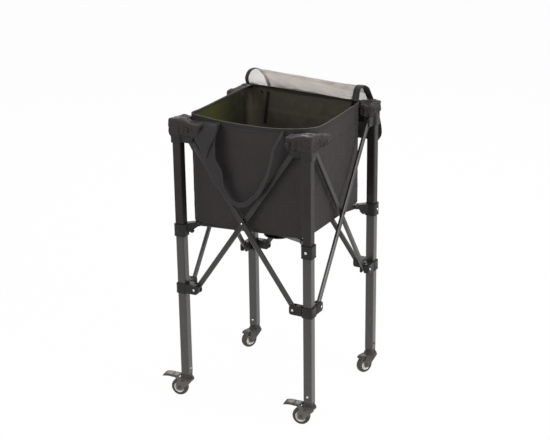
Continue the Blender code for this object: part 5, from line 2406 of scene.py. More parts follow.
        def place(i: int, j: int) -> tuple[Vector, tuple[float, float]]:
            """A point of the side and its place on the cloth.

            Args:
                i: The row.
                j: The column.

            Returns:
                The point and its place on the cloth.
            """
            low = self.bottom_height(face, runs[j] / self.reach)
            height = low + (self.rim_height(face, runs[j] / self.reach) - low) * i / self.rows
            return self.point(face, runs[j], height), (runs[j], height)

        item = lay_grid(grid_of(self.rows, self.columns, place), "side", face in (Face.LEFT, Face.BACK))
        thicken(wear(item, self.finishes.outer, self.finishes.inner), self.cloth, -1.0, lining=True)
        finish(item, f"bag_{face.value}_cloth", face.cloth_body, self.finishes.outer,
               (f"bag_{face.value}_panel",), CLOTH)
        self.fold(item, face)

    def trims(self, face: Face) -> None:
        """The tape over the rim, its edge, the stitched hem lines and the bottom roll.

        Args:
            face: The face of the bag.
        """
        section = ((self.tape_width, 0.0006), (self.tape_width * 0.5, 0.0009), (0.0016, 0.0010), (0.0002, 0.0006),
                   (-0.0008, -0.0008), (0.0002, -0.0022), (0.0016, -0.0027), (0.0034, -0.0026), (0.0050, -0.0023))
        outside = 5
        rows, maps = [], []
        for k, (drop_by, lift) in enumerate(section):
            rows.append([point + face.outward * (0.0003 * wrinkle(j * 0.16, drop_by * 90.0, 7.7))
                         for j, point in enumerate(self.rim_points(face, drop_by, lift))])
            maps.append([(drop_by if k < outside else -drop_by, j * 0.0035) for j in range(self.columns + 1)])
        tape = thicken(lay_grid((rows, maps), "tape", face in (Face.FRONT, Face.RIGHT)), 0.0007, 1.0)
        self.sew(tape, f"rim_tape_{face.value}", face, self.finishes.tape)
        edge = cord([self.rim_points(face, -0.0012, 0.0002)], 0.0008, 0.005, self.finishes.edge)
        self.sew(edge, f"rim_edge_{face.value}", face, self.finishes.edge)
        lines = [self.rim_points(face, self.tape_width - 0.0022, 0.0019, 0.004)]
        if face is not Face.FRONT:
            lines += [self.rim_points(face, self.hem_height - below, 0.0012, 0.004) for below in (0.0035, 0.0085)]
        stitches = stitch(lines, 0.0042, 0.0030, 0.00035, 4, self.finishes.thread)
        self.sew(stitches, f"rim_stitches_{face.value}", face, self.finishes.thread, sharp=CRISP)
        roll = [self.point(face, run, self.bottom_height(face, run / self.reach) + 0.0004) - face.outward * 0.0009
                for run in self.runs()]
        hem = flat_map(cord([roll], 0.0017, 0.005, self.finishes.outer))
        self.sew(hem, f"bottom_roll_{face.value}", face, self.finishes.outer)

    def corner_seam(self, corner: Corner, steps: int = 48) -> None:
        """The piping down one corner of the bag, and the tape inside it.

        Args:
            corner: The corner of the bag.
            steps: How many parts the line has.
        """
        sx, sy = corner.signs
        face = Face.FRONT if sy < 0 else Face.BACK
        away = -corner.inward
        low = self.bottom_height(face, sx) + 0.0012
        high = self.rim_height(face, sx) - 0.002
        outside, inside = [], []
        for i in range(steps + 1):
            point = self.point(face, sx * self.reach, low + (high - low) * i / steps)
            wave = 0.0004 * wrinkle(i * 0.22, 0.0, sx * 3.0 + sy)
            outside.append(point + away * (0.0004 + wave))
            inside.append(point - away * (0.0022 + wave))
        tape = self.finishes.tape
        finish(flat_map(cord([outside], 0.0013, 0.006, tape)), "corner_piping_" + corner.value, corner.leg, tape,
               sharp=CLOTH)
        finish(strap(inside, [away] * len(inside), 0.010, 0.0014, "tape"), "corner_tape_" + corner.value,
               corner.leg, self.finishes.inner, sharp=CLOTH)

    def floor(self, corner: Corner) -> None:
        """A quarter of the floor, which hangs from the bottom edges and lies on one arm.

        Args:
            corner: The leg whose floor arm the quarter lies on.
        """
        sx, sy = corner.signs
        slope = math.tan(SIZES.arm_slope)
        arm_start = math.sqrt(2) * (SIZES.half - SIZES.arm_pivot_in)
        over = SIZES.arm_width / 2 / math.cos(SIZES.arm_slope) + SIZES.gap + 0.0012
        flat_low = SIZES.arm_pivot_height - (arm_start - 0.030) * slope + 0.0058 + 0.0010
        side, count = SIZES.bag_half - 0.0042, self.floor_count

        def place(i: int, j: int) -> tuple[Vector, tuple[float, float]]:
            """A point of the quarter and its place on the cloth.

            Args:
                i: The row.
                j: The column.

            Returns:
                The point and its place on the cloth.
            """
            a, b = side * i / count, side * j / count
            long, short = max(a, b), min(a, b)
            spread = 0.0 if long < 1e-6 else short / long
            height = max(SIZES.arm_pivot_height + (long * math.sqrt(2) - arm_start) * slope + over, flat_low)
            dip = 0.0034 * (1.0 - spread ** 2) * smooth(long / 0.05) * smooth((side - long) / 0.02)
            fold = 0.0010 * wrinkle(a * 30.0, b * 30.0, 61.0 + sx + 2 * sy) * smooth((side - long) / 0.03)
            climb = self.back_lift * (sx * a / side + 1.0) * (sy * b / side + 1.0) / 4
            climb *= smooth((long - 0.06) / 0.09)
            spot = Vector((sx * a, sy * b, height - dip + fold + climb))
            sewn = smooth((long - side + self.floor_sewn) / self.floor_sewn)
            return spot.lerp(self.seam(corner, a / side, b / side), sewn), (a, b)

        item = lay_grid(grid_of(count, count, place), "floor", sx * sy < 0)
        thicken(wear(item, self.finishes.inner, self.finishes.outer), self.cloth, 0.0, lining=True)
        body = "floor_arm_" + corner.value
        stands_for = ("bag_floor",) if corner is Corner.FRONT_LEFT else ()
        finish(item, "floor_cloth_" + corner.value, body, self.finishes.inner, stands_for, CLOTH)
        crumple(item, corner.inward.cross(UP), corner.arm_pivot)

    def seam(self, corner: Corner, across: float, deep: float) -> Vector:
        """Where the floor is sewn to the panels.

        Args:
            corner: The floor's quarter.
            across: The place from the middle to the side along X, from 0 to 1.
            deep: The same along Y.

        Returns:
            The point just inside the panel's bottom edge.
        """
        sx, sy = corner.signs
        if across > deep:
            face, share = (Face.RIGHT if sx > 0 else Face.LEFT), sy * deep
        else:
            face, share = (Face.BACK if sy > 0 else Face.FRONT), sx * across
        edge = self.point(face, share * self.reach, self.bottom_height(face, share) + 0.0014)
        return edge - face.outward * (self.cloth + 0.0004)

    def lip_point(self, i: int, j: int) -> tuple[Vector, tuple[float, float]]:
        """A point of the lip, which turns over the rim in its first quarter and then runs up to the lid.

        Args:
            i: Its row.
            j: Its column.

        Returns:
            The point and its place on the cloth.
        """
        half, share, turned = SIZES.bag_half - self.lip_inset, i / self.lip_rows, 0.25
        x = half * (2.0 * j / self.lip_columns - 1.0)
        rim = UP * self.rim_height(Face.BACK, x / half)
        start = Vector((0.0, SIZES.bag_half - 0.0030, -0.010)) + rim
        top = Vector((0.0, SIZES.bag_half - 0.0040, -0.0006)) + rim
        end = Vector((0.0, SIZES.bag_half - 0.0466, SIZES.bag_rim + 0.0222 - lid_droop(x)))
        if share < turned:
            base = start.lerp(top, share / turned)
        else:
            base = top.lerp(end, (share - turned) / (1.0 - turned))
        free = smooth((share - 0.2) / 0.4) * (1.0 - abs(x / half) ** 6) * math.sin(math.pi * share)
        dip = 0.0030 * free + 0.0034 * free * wrinkle(x * 26.0, share * 2.0, 81.0)
        return Vector((x, base.y, base.z - dip)), (x, share * 0.062)

    def lip(self) -> None:
        """The strip of cloth that runs from the back rim up to the lid's first edge."""
        item = lay_grid(grid_of(self.lip_rows, self.lip_columns, self.lip_point), "lip")
        thicken(item, 0.0009)
        finish(item, "back_lip_cloth", "leg_back_left", self.finishes.inner, sharp=CLOTH)
        self.fold(item, Face.BACK)

    def lip_tapes(self) -> None:
        """The tapes over the lip's two ends, the pull inside the back panel and the loop on the right."""
        facing = Vector((0.0, -0.46, 0.89))
        tapes = []
        for sign, column in ((-1, 0), (1, self.lip_columns)):
            edge = [self.lip_point(i, column)[0] for i in range(4, self.lip_rows + 1)]
            line = [Vector((sign * (SIZES.bag_half - self.lip_inset - 0.002), at.y, at.z + 0.0003)) for at in edge]
            tapes.append(strap(line, [facing] * len(line), 0.0085, 0.0026, "tape"))
            tapes.append(self.inside_pull() if sign < 0 else self.loop())
        self.sew(gather(tapes, "tapes"), "back_lip_tape", Face.BACK, self.finishes.tape)

    def inside_pull(self) -> Thing:
        """The narrow tape that runs down the inside of the back panel near its left corner.

        Returns:
            The tape.
        """
        inward = -Face.BACK.outward
        line = []
        for i in range(33):
            run = -0.1160 - 0.0004 * i
            height = self.rim_height(Face.BACK, run / self.reach) - 0.001 - 0.0032 * i
            line.append(self.point(Face.BACK, run, height) + inward * (self.cloth + 0.0014))
        return strap(line, [inward] * len(line), 0.0090, 0.0018, "pull")

    def loop(self) -> Thing:
        """The loop of tape that lies over the back rim near its right corner.

        Returns:
            The tape.
        """
        bends = ((0.1560, 0.7600), (0.1575, 0.7720), (0.1568, 0.7830), (0.1590, 0.7905), (0.1640, 0.7925),
                 (0.1690, 0.7895), (0.1712, 0.7830), (0.1722, 0.7760))
        points = [Vector((0.1420 + 0.0016 * math.sin(k * 0.9), y, z)) for k, (y, z) in enumerate(spline(bends, 4))]
        facings = [Vector((0.16 * math.sin(k * 0.8), -way.z, way.y)).normalized()
                   for k, way in enumerate(ways_along(points))]
        widths = [0.019 + 0.003 * math.sin(k * 0.7) for k in range(len(points))]
        return strap(points, facings, widths, 0.0022, "tab")


# ---- Corner pockets ----


@dataclass(frozen=True)
class PocketShape:
    """How one corner's pocket lies along X and along Y: its reach, its top's drop and its hem's lift.

    Each eyelet is on the front or not, with its place along the side and its height.
    """

    reach: tuple[float, float]
    fall: tuple[float, float]
    lift: tuple[float, float] = (0.0, 0.0)
    bulge: float = 0.0
    eyelets: tuple[tuple[bool, float, float], ...] = ()
    foot: float = 0.7405
    crown: float = 0.0


POCKETS = {
    Corner.FRONT_LEFT: PocketShape((0.068, 0.050), (0.0105, 0.0040), (0.0, 0.004), 0.0052,
                                   ((True, 0.0345, 0.761),)),
    Corner.FRONT_RIGHT: PocketShape((0.056, 0.094), (0.0085, 0.0205), (0.005, 0.006),
                                    eyelets=((True, 0.0490, 0.7590), (False, 0.0735, 0.7570))),
    Corner.BACK_LEFT: PocketShape((0.064, 0.100), (0.0080, 0.0), bulge=0.0040, crown=0.0075),
    Corner.BACK_RIGHT: PocketShape((0.060, 0.043), (0.0060, 0.0040), eyelets=((False, 0.0270, 0.7690),),
                                   foot=0.7515),
}


@dataclass
class CornerPockets:
    """The bag's pockets, which slip over the top brackets and gather under them."""

    finishes: Finishes
    wall: float = 0.0018
    cloth: float = 0.0012
    grain: float = 0.0015
    hem_radius: float = 0.0015
    sharp: float = 70.0

    @property
    def outside(self) -> float:
        """How far a pocket stands outside its leg's middle line."""
        return SIZES.sleeve_out + SIZES.gap + self.wall

    @property
    def inside(self) -> float:
        """How far it stands inside that line."""
        return SIZES.half - SIZES.bag_half - SIZES.gap

    @property
    def top(self) -> float:
        """The height of its roof."""
        return SIZES.cap_top + SIZES.gap + self.wall

    def build(self) -> None:
        """Sew the four pockets."""
        for corner in Corner:
            self.pocket(corner)
            self.eyelets(corner)

    def pocket(self, corner: Corner) -> None:
        """One pocket: an L-shaped cap with soft folds and a gathered hem.

        Args:
            corner: The leg that it is on.
        """
        shape = POCKETS[corner]
        along_x, along_y = corner.inward_ways
        out, inner = self.outside - 0.0008, self.inside - 0.0010
        outline = rounded([(-out, -out, 0.006), (shape.reach[0], -out, 0.009), (shape.reach[0], inner, 0.007),
                           (inner, inner, 0.004), (inner, shape.reach[1], 0.007), (-out, shape.reach[1], 0.009)])
        solid = soften(prism(outline, shape.foot, self.top - 0.0006, along_x, UP, along_y), 0.0062, 3, 60.0)
        remesh = solid.modifiers.new("even", "REMESH")
        remesh.mode = "VOXEL"
        remesh.voxel_size = self.grain
        self.ruffle(freeze(solid), corner)
        bm = bmesh.new()
        bm.from_mesh(solid.data)
        low = [f for f in bm.faces if f.normal.z < -0.6 and f.calc_center_median().z < shape.foot + 0.012]
        bmesh.ops.delete(bm, geom=low, context="FACES")
        layer = bm.loops.layers.uv.new("cloth")
        for face in bm.faces:
            for loop in face.loops:
                co = loop.vert.co
                loop[layer].uv = (co.x + co.y * 0.7, co.z + co.y * 0.5)
        bm.normal_update()
        hem = self.open_edge(bm)
        bm.to_mesh(solid.data)
        bm.free()
        thicken(wear(solid, self.finishes.outer), self.cloth, -1.0)
        name, tape = corner.value, self.finishes.tape
        finish(move(solid, corner.place), "corner_pocket_" + name, corner.leg, self.finishes.outer,
               ("corner_hood_" + name,), self.sharp)
        rim = flat_map(cord([[point + corner.place for point in hem]], self.hem_radius, 0.003, tape, True))
        finish(rim, "pocket_hem_" + name, corner.leg, tape, sharp=self.sharp)
        self.crush(corner, solid, rim)

    def eyelets(self, corner: Corner) -> None:
        """The rings pressed through a pocket's outer sides.

        Args:
            corner: The leg that it is on.
        """
        profile = [(0.0028, 0.0), (0.0062, 0.0), (0.0062, 0.0026), (0.0057, 0.0038), (0.0046, 0.0043),
                   (0.0035, 0.0037), (0.0028, 0.0024)]
        rings = []
        for front, run, height in POCKETS[corner].eyelets:
            along, facing = corner.arms[0 if front else 1]
            middle = corner.place + along * run + UP * height + facing * (self.outside - 0.0022)
            rings += [lathe(profile, middle, facing, 28), pin(0.0030, 0.0004, 0.0016, middle, facing, 16)]
        if rings:
            item = gather(rings, "eyelets")
            finish(item, "pocket_eyelets_" + corner.value, corner.leg, self.finishes.black_steel)
            self.crush(corner, item)

    def crush(self, corner: Corner, *items: Thing) -> None:
        """Give a pocket's pieces meshes of their own when the pocket reaches along Y further than about half the folded
        legs' spacing.

        Args:
            corner: The leg that the pocket is on.
            items: The pocket's finished pieces.
        """
        keep = min(1.0, (SIZES.folded_spacing / 2 - 0.0015) / POCKETS[corner].reach[1])
        if keep < 1.0:
            for item in items:
                crumple(item, Y, corner.place)

    def ruffle(self, item: Thing, corner: Corner) -> None:
        """Slope a pocket's arms and push soft folds into its skirt, growing towards its hem.

        Args:
            item: The evened solid, round its leg's middle line.
            corner: The leg, which sets the pattern.
        """
        mesh, shape = item.data, POCKETS[corner]
        along_x, along_y = corner.inward_ways
        sx, sy = corner.signs
        seed = 90.0 + sx * 3.1 + sy * 7.3
        normals = [vert.normal.copy() for vert in mesh.vertices]
        for vert, normal in zip(mesh.vertices, normals):
            co = vert.co
            runs = co.dot(along_x), co.dot(along_y)
            arm = 0 if runs[0] > runs[1] else 1
            share = max(0.0, runs[arm] / shape.reach[arm])
            rise = (co.z - shape.foot) / (self.top - shape.foot)
            fall = smooth(share) * shape.fall[arm] * rise
            hem = share * shape.lift[arm] * (1.0 - rise)
            level = Vector((normal.x, normal.y, 0.0))
            skirt = smooth((self.top - co.z) / 0.026)
            around = runs[0] - runs[1]
            pleat = abs(wrinkle(around * 62.0, co.z * 9.0, seed, 2)) ** 0.7
            crease = 1.0 - min(1.0, 4.0 * abs(wrinkle(co.x * 30.0 + co.z * 20.0, co.y * 30.0 - co.z * 14.0,
                                                      seed + 31.0, 2)))
            lump = wrinkle(co.x * 42.0, co.y * 42.0 + co.z * 34.0, seed + 9.0, 3)
            push = (0.0021 - 0.0072 * pleat * skirt + 0.0018 * lump - 0.0013 * crease) * level.length
            gather_in = -0.0030 * smooth((shape.foot + 0.007 - co.z) / 0.007) * level.length
            swell = shape.bulge * max(0.0, -runs[0] / self.outside) * math.sin(math.pi * min(1.0, rise * 0.9 + 0.1))
            wave = 0.0034 * wrinkle(around * 30.0, 0.0, seed + 4.0, 2) * smooth((shape.foot + 0.02 - co.z) / 0.02)
            lift = (0.0030 * lump - 0.0016 * crease) * max(0.0, normal.z) + shape.crown * smooth((rise - 0.4) * 2.0)
            moved = co + level * max(-0.0046, min(0.0026, push + gather_in)) - along_x * swell
            vert.co = moved + UP * (lift + max(-0.0016, wave) + hem - fall)

    def open_edge(self, bm: bmesh.types.BMesh) -> list[Vector]:
        """The open bottom edge in order.

        Args:
            bm: The pocket without its underside.

        Returns:
            The points of the longest open loop.
        """
        rest = dict.fromkeys(edge for edge in bm.edges if edge.is_boundary)
        best: list[Vector] = []
        while rest:
            start, vert = rest.popitem()[0].verts
            line = [start.co.copy(), vert.co.copy()]
            while vert is not start:
                following = next((e for e in vert.link_edges if e in rest), None)
                if following is None:
                    break
                rest.pop(following)
                vert = following.other_vert(vert)
                line.append(vert.co.copy())
            if len(line) > len(best):
                best = line
        return best[:-1]


# ---- Handles ----


StrapLine = tuple[tuple[float, float, float, float], ...]
"""How a strap hangs: places along the face and up, with its width and its twist in degrees."""

HUNG_FRONT: StrapLine = (
    (-0.0900, 0.7790, 0.034, 0.0), (-0.0870, 0.7600, 0.034, 0.0), (-0.0854, 0.7427, 0.034, 0.0),
    (-0.0854, 0.7165, 0.033, 4.0), (-0.0850, 0.6955, 0.031, 8.0), (-0.0799, 0.6790, 0.034, 12.0),
    (-0.0735, 0.6667, 0.036, 16.0), (-0.0680, 0.6542, 0.035, 18.0), (-0.0612, 0.6352, 0.027, 26.0),
    (-0.0553, 0.6227, 0.019, 36.0), (-0.0468, 0.6106, 0.0135, 44.0), (-0.0347, 0.5964, 0.0115, 44.0),
    (-0.0210, 0.5870, 0.0125, 30.0), (-0.0020, 0.5825, 0.014, 0.0), (0.0185, 0.5883, 0.0135, -24.0),
    (0.0370, 0.6043, 0.014, -36.0), (0.0524, 0.6198, 0.0155, -42.0), (0.0647, 0.6399, 0.018, -44.0),
    (0.0747, 0.6583, 0.0178, -46.0), (0.0828, 0.6750, 0.0168, -46.0), (0.0889, 0.6953, 0.0158, -44.0),
    (0.0945, 0.7179, 0.0156, -42.0), (0.1005, 0.7417, 0.0155, -36.0), (0.1054, 0.7597, 0.013, -24.0),
    (0.1072, 0.7721, 0.010, -10.0), (0.1050, 0.7800, 0.008, 0.0),
)
FRONT_FLAP: StrapLine = (
    (-0.1060, 0.7790, 0.066, 0.0), (-0.1053, 0.7721, 0.0672, 0.0), (-0.1016, 0.7598, 0.0665, -2.0),
    (-0.1007, 0.7459, 0.0625, -4.0), (-0.1000, 0.7317, 0.0476, -6.0), (-0.0994, 0.7200, 0.0342, -8.0),
    (-0.0982, 0.7043, 0.0185, -8.0), (-0.0972, 0.6926, 0.0080, -8.0),
)
BACK_LEFT_HALF: StrapLine = (
    (-0.0980, 0.7865, 0.028, 0.0), (-0.0955, 0.7450, 0.028, 0.0), (-0.0830, 0.6940, 0.028, 0.0),
    (-0.0600, 0.6390, 0.027, 0.0), (-0.0300, 0.5970, 0.026, 0.0),
)
HUNG_BACK: StrapLine = (*BACK_LEFT_HALF, (0.0, 0.5835, 0.026, 0.0),
                        *((-x, z, width, twist) for x, z, width, twist in reversed(BACK_LEFT_HALF)))


def narrow(item: Thing) -> None:
    """Give a piece a mesh of its own."""
    crumple(item, X, Vector((-SIZES.bag_half, 0.0, 0.0)))


@dataclass
class Handle:
    """A webbing handle sewn under the rim, which hangs outside the braces."""

    face: Face
    finishes: Finishes
    thickness: float = 0.0020
    near: float = 0.1665
    hang: float = 0.2032
    ease: float = 0.045
    flap_over: float = 0.0034
    stitch_inset: float = 0.0034
    steps: int = 9

    def line(self, hung: StrapLine, over: float = 0.0) -> tuple[list[Vector], list[Vector], list[float]]:
        """A strap's middle line, the way that its flat side looks and its width, point by point.

        Args:
            hung: How it hangs.
            over: How far it lies over the strap behind it.

        Returns:
            The points, the facings and the widths.
        """
        rows = spline(hung, self.steps)
        outward, along = self.face.outward, self.face.along
        points, facings, widths = [], [], []
        for i, (x, z, width, twist) in enumerate(rows):
            ease = min(1.0, (rows[0][1] - z) / self.ease)
            out = self.near + (self.hang - self.near) * math.sin(max(0.0, ease) * math.pi / 2) + over
            wave = 0.0010 * wrinkle(i * 0.06, 0.0, 17.0) * smooth(ease)
            points.append(along * x + UP * z + outward * (out + wave))
            turn = math.radians(twist + 5.0 * wrinkle(i * 0.05, 3.0, 27.0))
            facings.append(outward * math.cos(turn) + along * math.sin(turn))
            widths.append(width)
        return points, facings, widths

    def seams(self, points: list[Vector], facings: list[Vector], widths: list[float]) -> list[list[Vector]]:
        """The stitched lines along a strap's two edges.

        Args:
            points: Its middle line.
            facings: The way that its flat side looks.
            widths: Its widths.

        Returns:
            The two lines.
        """
        lines: list[list[Vector]] = [[], []]
        ways, free = ways_along(points), 4
        for i in range(free, len(points) - free):
            way = ways[i].normalized()
            side = way.cross(facings[i]).normalized()
            out = side.cross(way).normalized()
            out = out if out.dot(self.face.outward) > 0 else -out
            for sign, line in zip(SIDES, lines):
                line.append(points[i] + side * sign * (widths[i] / 2 - self.stitch_inset)
                            + out * self.thickness * 0.55)
        return lines

    def build(self) -> None:
        """Make the strap, the front handle's flap and the stitches along the strap's edges."""
        front = self.face is Face.FRONT
        body = f"handle_{self.face.value}"
        straps = [self.line(HUNG_FRONT if front else HUNG_BACK)]
        if front:
            straps.append(self.line(FRONT_FLAP, self.flap_over))
        item = gather([strap(*lines, self.thickness, body) for lines in straps], body)
        finish(item, f"{body}_webbing", body, self.finishes.webbing, (body,), CLOTH)
        narrow(item)
        stitches = stitch(self.seams(*straps[0]), 0.0040, 0.0029, 0.00033, 9, self.finishes.thread)
        finish(stitches, f"{body}_stitches", body, self.finishes.thread)
        narrow(stitches)


# ---- Lid ----


@dataclass(frozen=True)
class LidPart:
    """One part of the lid as it lies open: its left and right edges as places back and up."""

    body: str
    left: tuple[tuple[float, float], ...]
    right: tuple[tuple[float, float], ...]
    steps: int

    def edge(self, points: tuple[tuple[float, float], ...]) -> Outline:
        """One edge in even steps.

        Args:
            points: The bends that it goes through.

        Returns:
            The edge.
        """
        fine = spline(points, 24)
        runs = [0.0]
        for a, b in zip(fine, fine[1:]):
            runs.append(runs[-1] + math.dist(a, b))
        even, k = [], 0
        for i in range(self.steps + 1):
            run = runs[-1] * i / self.steps
            while k < len(runs) - 2 and runs[k + 1] < run:
                k += 1
            t = (run - runs[k]) / (runs[k + 1] - runs[k])
            even.append(tuple(a + (b - a) * t for a, b in zip(fine[k], fine[k + 1])))
        return even


LID_ROOT = LidPart(
    "lid_root",
    ((0.118, 0.812), (0.1125, 0.829), (0.1270, 0.8440), (0.1535, 0.8468), (0.1785, 0.8395), (0.197, 0.829)),
    ((0.1172, 0.8030), (0.1205, 0.8130), (0.1260, 0.8260), (0.1390, 0.8332), (0.1560, 0.8322), (0.1705, 0.8262)),
    30)
LID_FLAP = LidPart(
    "lid_flap",
    ((0.197, 0.829), (0.2120, 0.8165), (0.2270, 0.7975), (0.2380, 0.7760), (0.2480, 0.735), (0.257, 0.695),
     (0.265, 0.655)),
    ((0.1705, 0.8262), (0.1825, 0.8190), (0.1925, 0.8060), (0.2030, 0.7925), (0.2220, 0.768), (0.2440, 0.738),
     (0.2590, 0.706), (0.2660, 0.680), (0.2630, 0.655)),
    48)


@dataclass
class Lid:
    """The lid, thrown open over the back rim: net, with a cloth end and narrow tape down its sides."""

    finishes: Finishes
    left: float = 0.159
    right: float = 0.178
    side_inset: float = 0.002
    side_tapes: tuple[float, float] = (0.0110, 0.0195)
    cloth_from: float = 0.748
    end_height: float = 0.655
    end_round: float = 0.024
    columns: int = 84
    overlap: int = 8
    overlap_least: float = 0.35
    overlap_gap: float = 0.0014

    @property
    def width(self) -> float:
        """The lid's width between its borders."""
        return self.left + self.right - 2 * self.side_inset

    def build(self) -> None:
        """Sew the two parts of the lid. The first runs on under the second."""
        rows, maps = self.surface(LID_ROOT)
        self.run_on(rows, maps)
        self.cloth(LID_ROOT, rows, maps, "net")
        self.trims(LID_ROOT, rows)
        rows, maps = self.surface(LID_FLAP)
        first = next(i for i, row in enumerate(rows) if row[0].z < self.cloth_from)
        self.cloth(LID_FLAP, rows[:first], maps[:first], "net")
        self.cloth(LID_FLAP, rows[first - 2:], maps[first - 2:], "cloth")
        self.trims(LID_FLAP, rows, ((len(rows) - 3, 1, 0.013), (first - 1, 0, 0.009)))

    def surface(self, part: LidPart) -> Grid:
        """The part's points, row by row from its first edge, with their places on the flat cloth.

        Args:
            part: Its shape.

        Returns:
            The grid.
        """
        left, right = part.edge(part.left), part.edge(part.right)
        rows, maps, run = [], [], 0.0
        for i, (a, b) in enumerate(zip(left, right)):
            if i:
                run += math.dist(a, left[i - 1])
            row, spots = [], []
            short = max(0.0, 1.0 - (b[1] - self.end_height) / self.end_round)
            inset = self.end_round * (1.0 - math.sqrt(1.0 - min(1.0, short) ** 2)) * 0.9
            for j in range(self.columns + 1):
                x = self.side_inset - self.left + inset + (self.width - 2 * inset) * j / self.columns
                share = smooth(j / self.columns)
                free = math.sin(math.pi * i / part.steps) * (1.0 - abs(2.0 * j / self.columns - 1.0) ** 4)
                sag = 0.0018 * free + 0.0016 * free * wrinkle(x * 18.0, run * 22.0, 33.0)
                y, z = (a[k] + (b[k] - a[k]) * share for k in (0, 1))
                row.append(Vector((x, y - 0.4 * sag, z - sag)))
                spots.append((x, run))
            rows.append(row)
            maps.append(spots)
        return rows, maps

    def run_on(self, rows: list[list[Vector]], maps: list[Outline]) -> None:
        """Run the first part on under the second, further on the right, so that closing opens no gap.

        Args:
            rows: The first part's points, which grow.
            maps: Their places on the flat cloth, which grow too.
        """
        beyond, _ = self.surface(LID_FLAP)
        least = self.overlap_least
        for step in range(1, self.overlap + 1):
            row = []
            for j in range(self.columns + 1):
                at = (least + (self.overlap - least) * smooth(j / self.columns)) * step / self.overlap
                k = int(at)
                way = (beyond[k + 1][j] - beyond[k][j]).normalized()
                out = Vector((0.0, -way.z, way.y))
                row.append(beyond[k][j].lerp(beyond[k + 1][j], at - k) - out * self.overlap_gap)
            rows.append(row)
            maps.append([(x, run + 0.0021) for x, run in maps[-1]])

    def cloth(self, part: LidPart, rows: list[list[Vector]], maps: list[Outline], kind: str) -> None:
        """One sheet of the part.

        Args:
            part: The part that it belongs to.
            rows: Its points.
            maps: Their places on the flat cloth.
            kind: net or cloth.
        """
        net = kind == "net"
        material = self.finishes.net if net else self.finishes.outer
        item = thicken(wear(lay_grid((rows, maps), kind), material), 0.0007 if net else 0.0011)
        finish(item, f"{part.body}_{kind}", part.body, material,
               (part.body,) if net else (), CLOTH)
        narrow(item)

    def trims(self, part: LidPart, rows: list[list[Vector]],
              hems: Iterable[tuple[int, int, float]] = ()) -> None:
        """A part's side tapes, its hems across and their stitches.

        Args:
            part: The part.
            rows: Its points.
            hems: Each hem's row, how many rows on it averages with, and its width.
        """
        tapes, lines = [], []
        for column, sign, width in ((0, -1.0, self.side_tapes[0]), (self.columns, 1.0, self.side_tapes[1])):
            inset = X * sign * (self.side_inset - width / 2 + 0.0012)
            edge = [row[column] + inset for row in rows]
            facings = self.facings(edge)
            tapes.append(strap(edge, facings, width, 0.0026, "tape"))
            lines.append([point + facing * 0.0014 for point, facing in zip(edge, facings)])
        middle = self.facings([row[self.columns // 2] for row in rows])
        for at, on, width in hems:
            across = [(a + b) / 2 for a, b in zip(rows[at], rows[at + on])]
            tapes.append(strap(across, [middle[at]] * len(across), width, 0.0028, "hem"))
            lines.append([point + middle[at] * 0.0015 for point in across])
        item = gather(tapes, "tapes")
        finish(item, part.body + "_tape", part.body, self.finishes.tape, sharp=CLOTH)
        narrow(item)
        stitches = stitch(lines, 0.0042, 0.0030, 0.00033, 12, self.finishes.thread)
        finish(stitches, part.body + "_stitches", part.body, self.finishes.thread)
        narrow(stitches)

    def facings(self, line: list[Vector]) -> list[Vector]:
        """The way out of the cloth at each point of a line that runs down the lid."""
        ways = [way.normalized() for way in ways_along(line)]
        return [Vector((0.0, -way.z, way.y)).normalized() for way in ways]


# ---- Studio ----


@dataclass(frozen=True)
class Lamp:
    """A square lamp: its place, size, power and colour."""

    name: str
    place: tuple[float, float, float]
    size: float
    power: float
    colour: tuple[float, float, float] = (1.0, 1.0, 1.0)


WHITE = rgb(1.0, 1.0, 1.0)
LAMPS = (Lamp("key", (2.9, -0.35, 1.7), 1.5, 66.0, (1.0, 0.965, 0.92)), Lamp("fill", (-1.2, -3.0, 1.6), 1.8, 38.0),
         Lamp("top", (0.2, 0.3, 3.0), 2.2, 26.0), Lamp("rim", (-1.4, 2.6, 2.0), 1.4, 18.0))


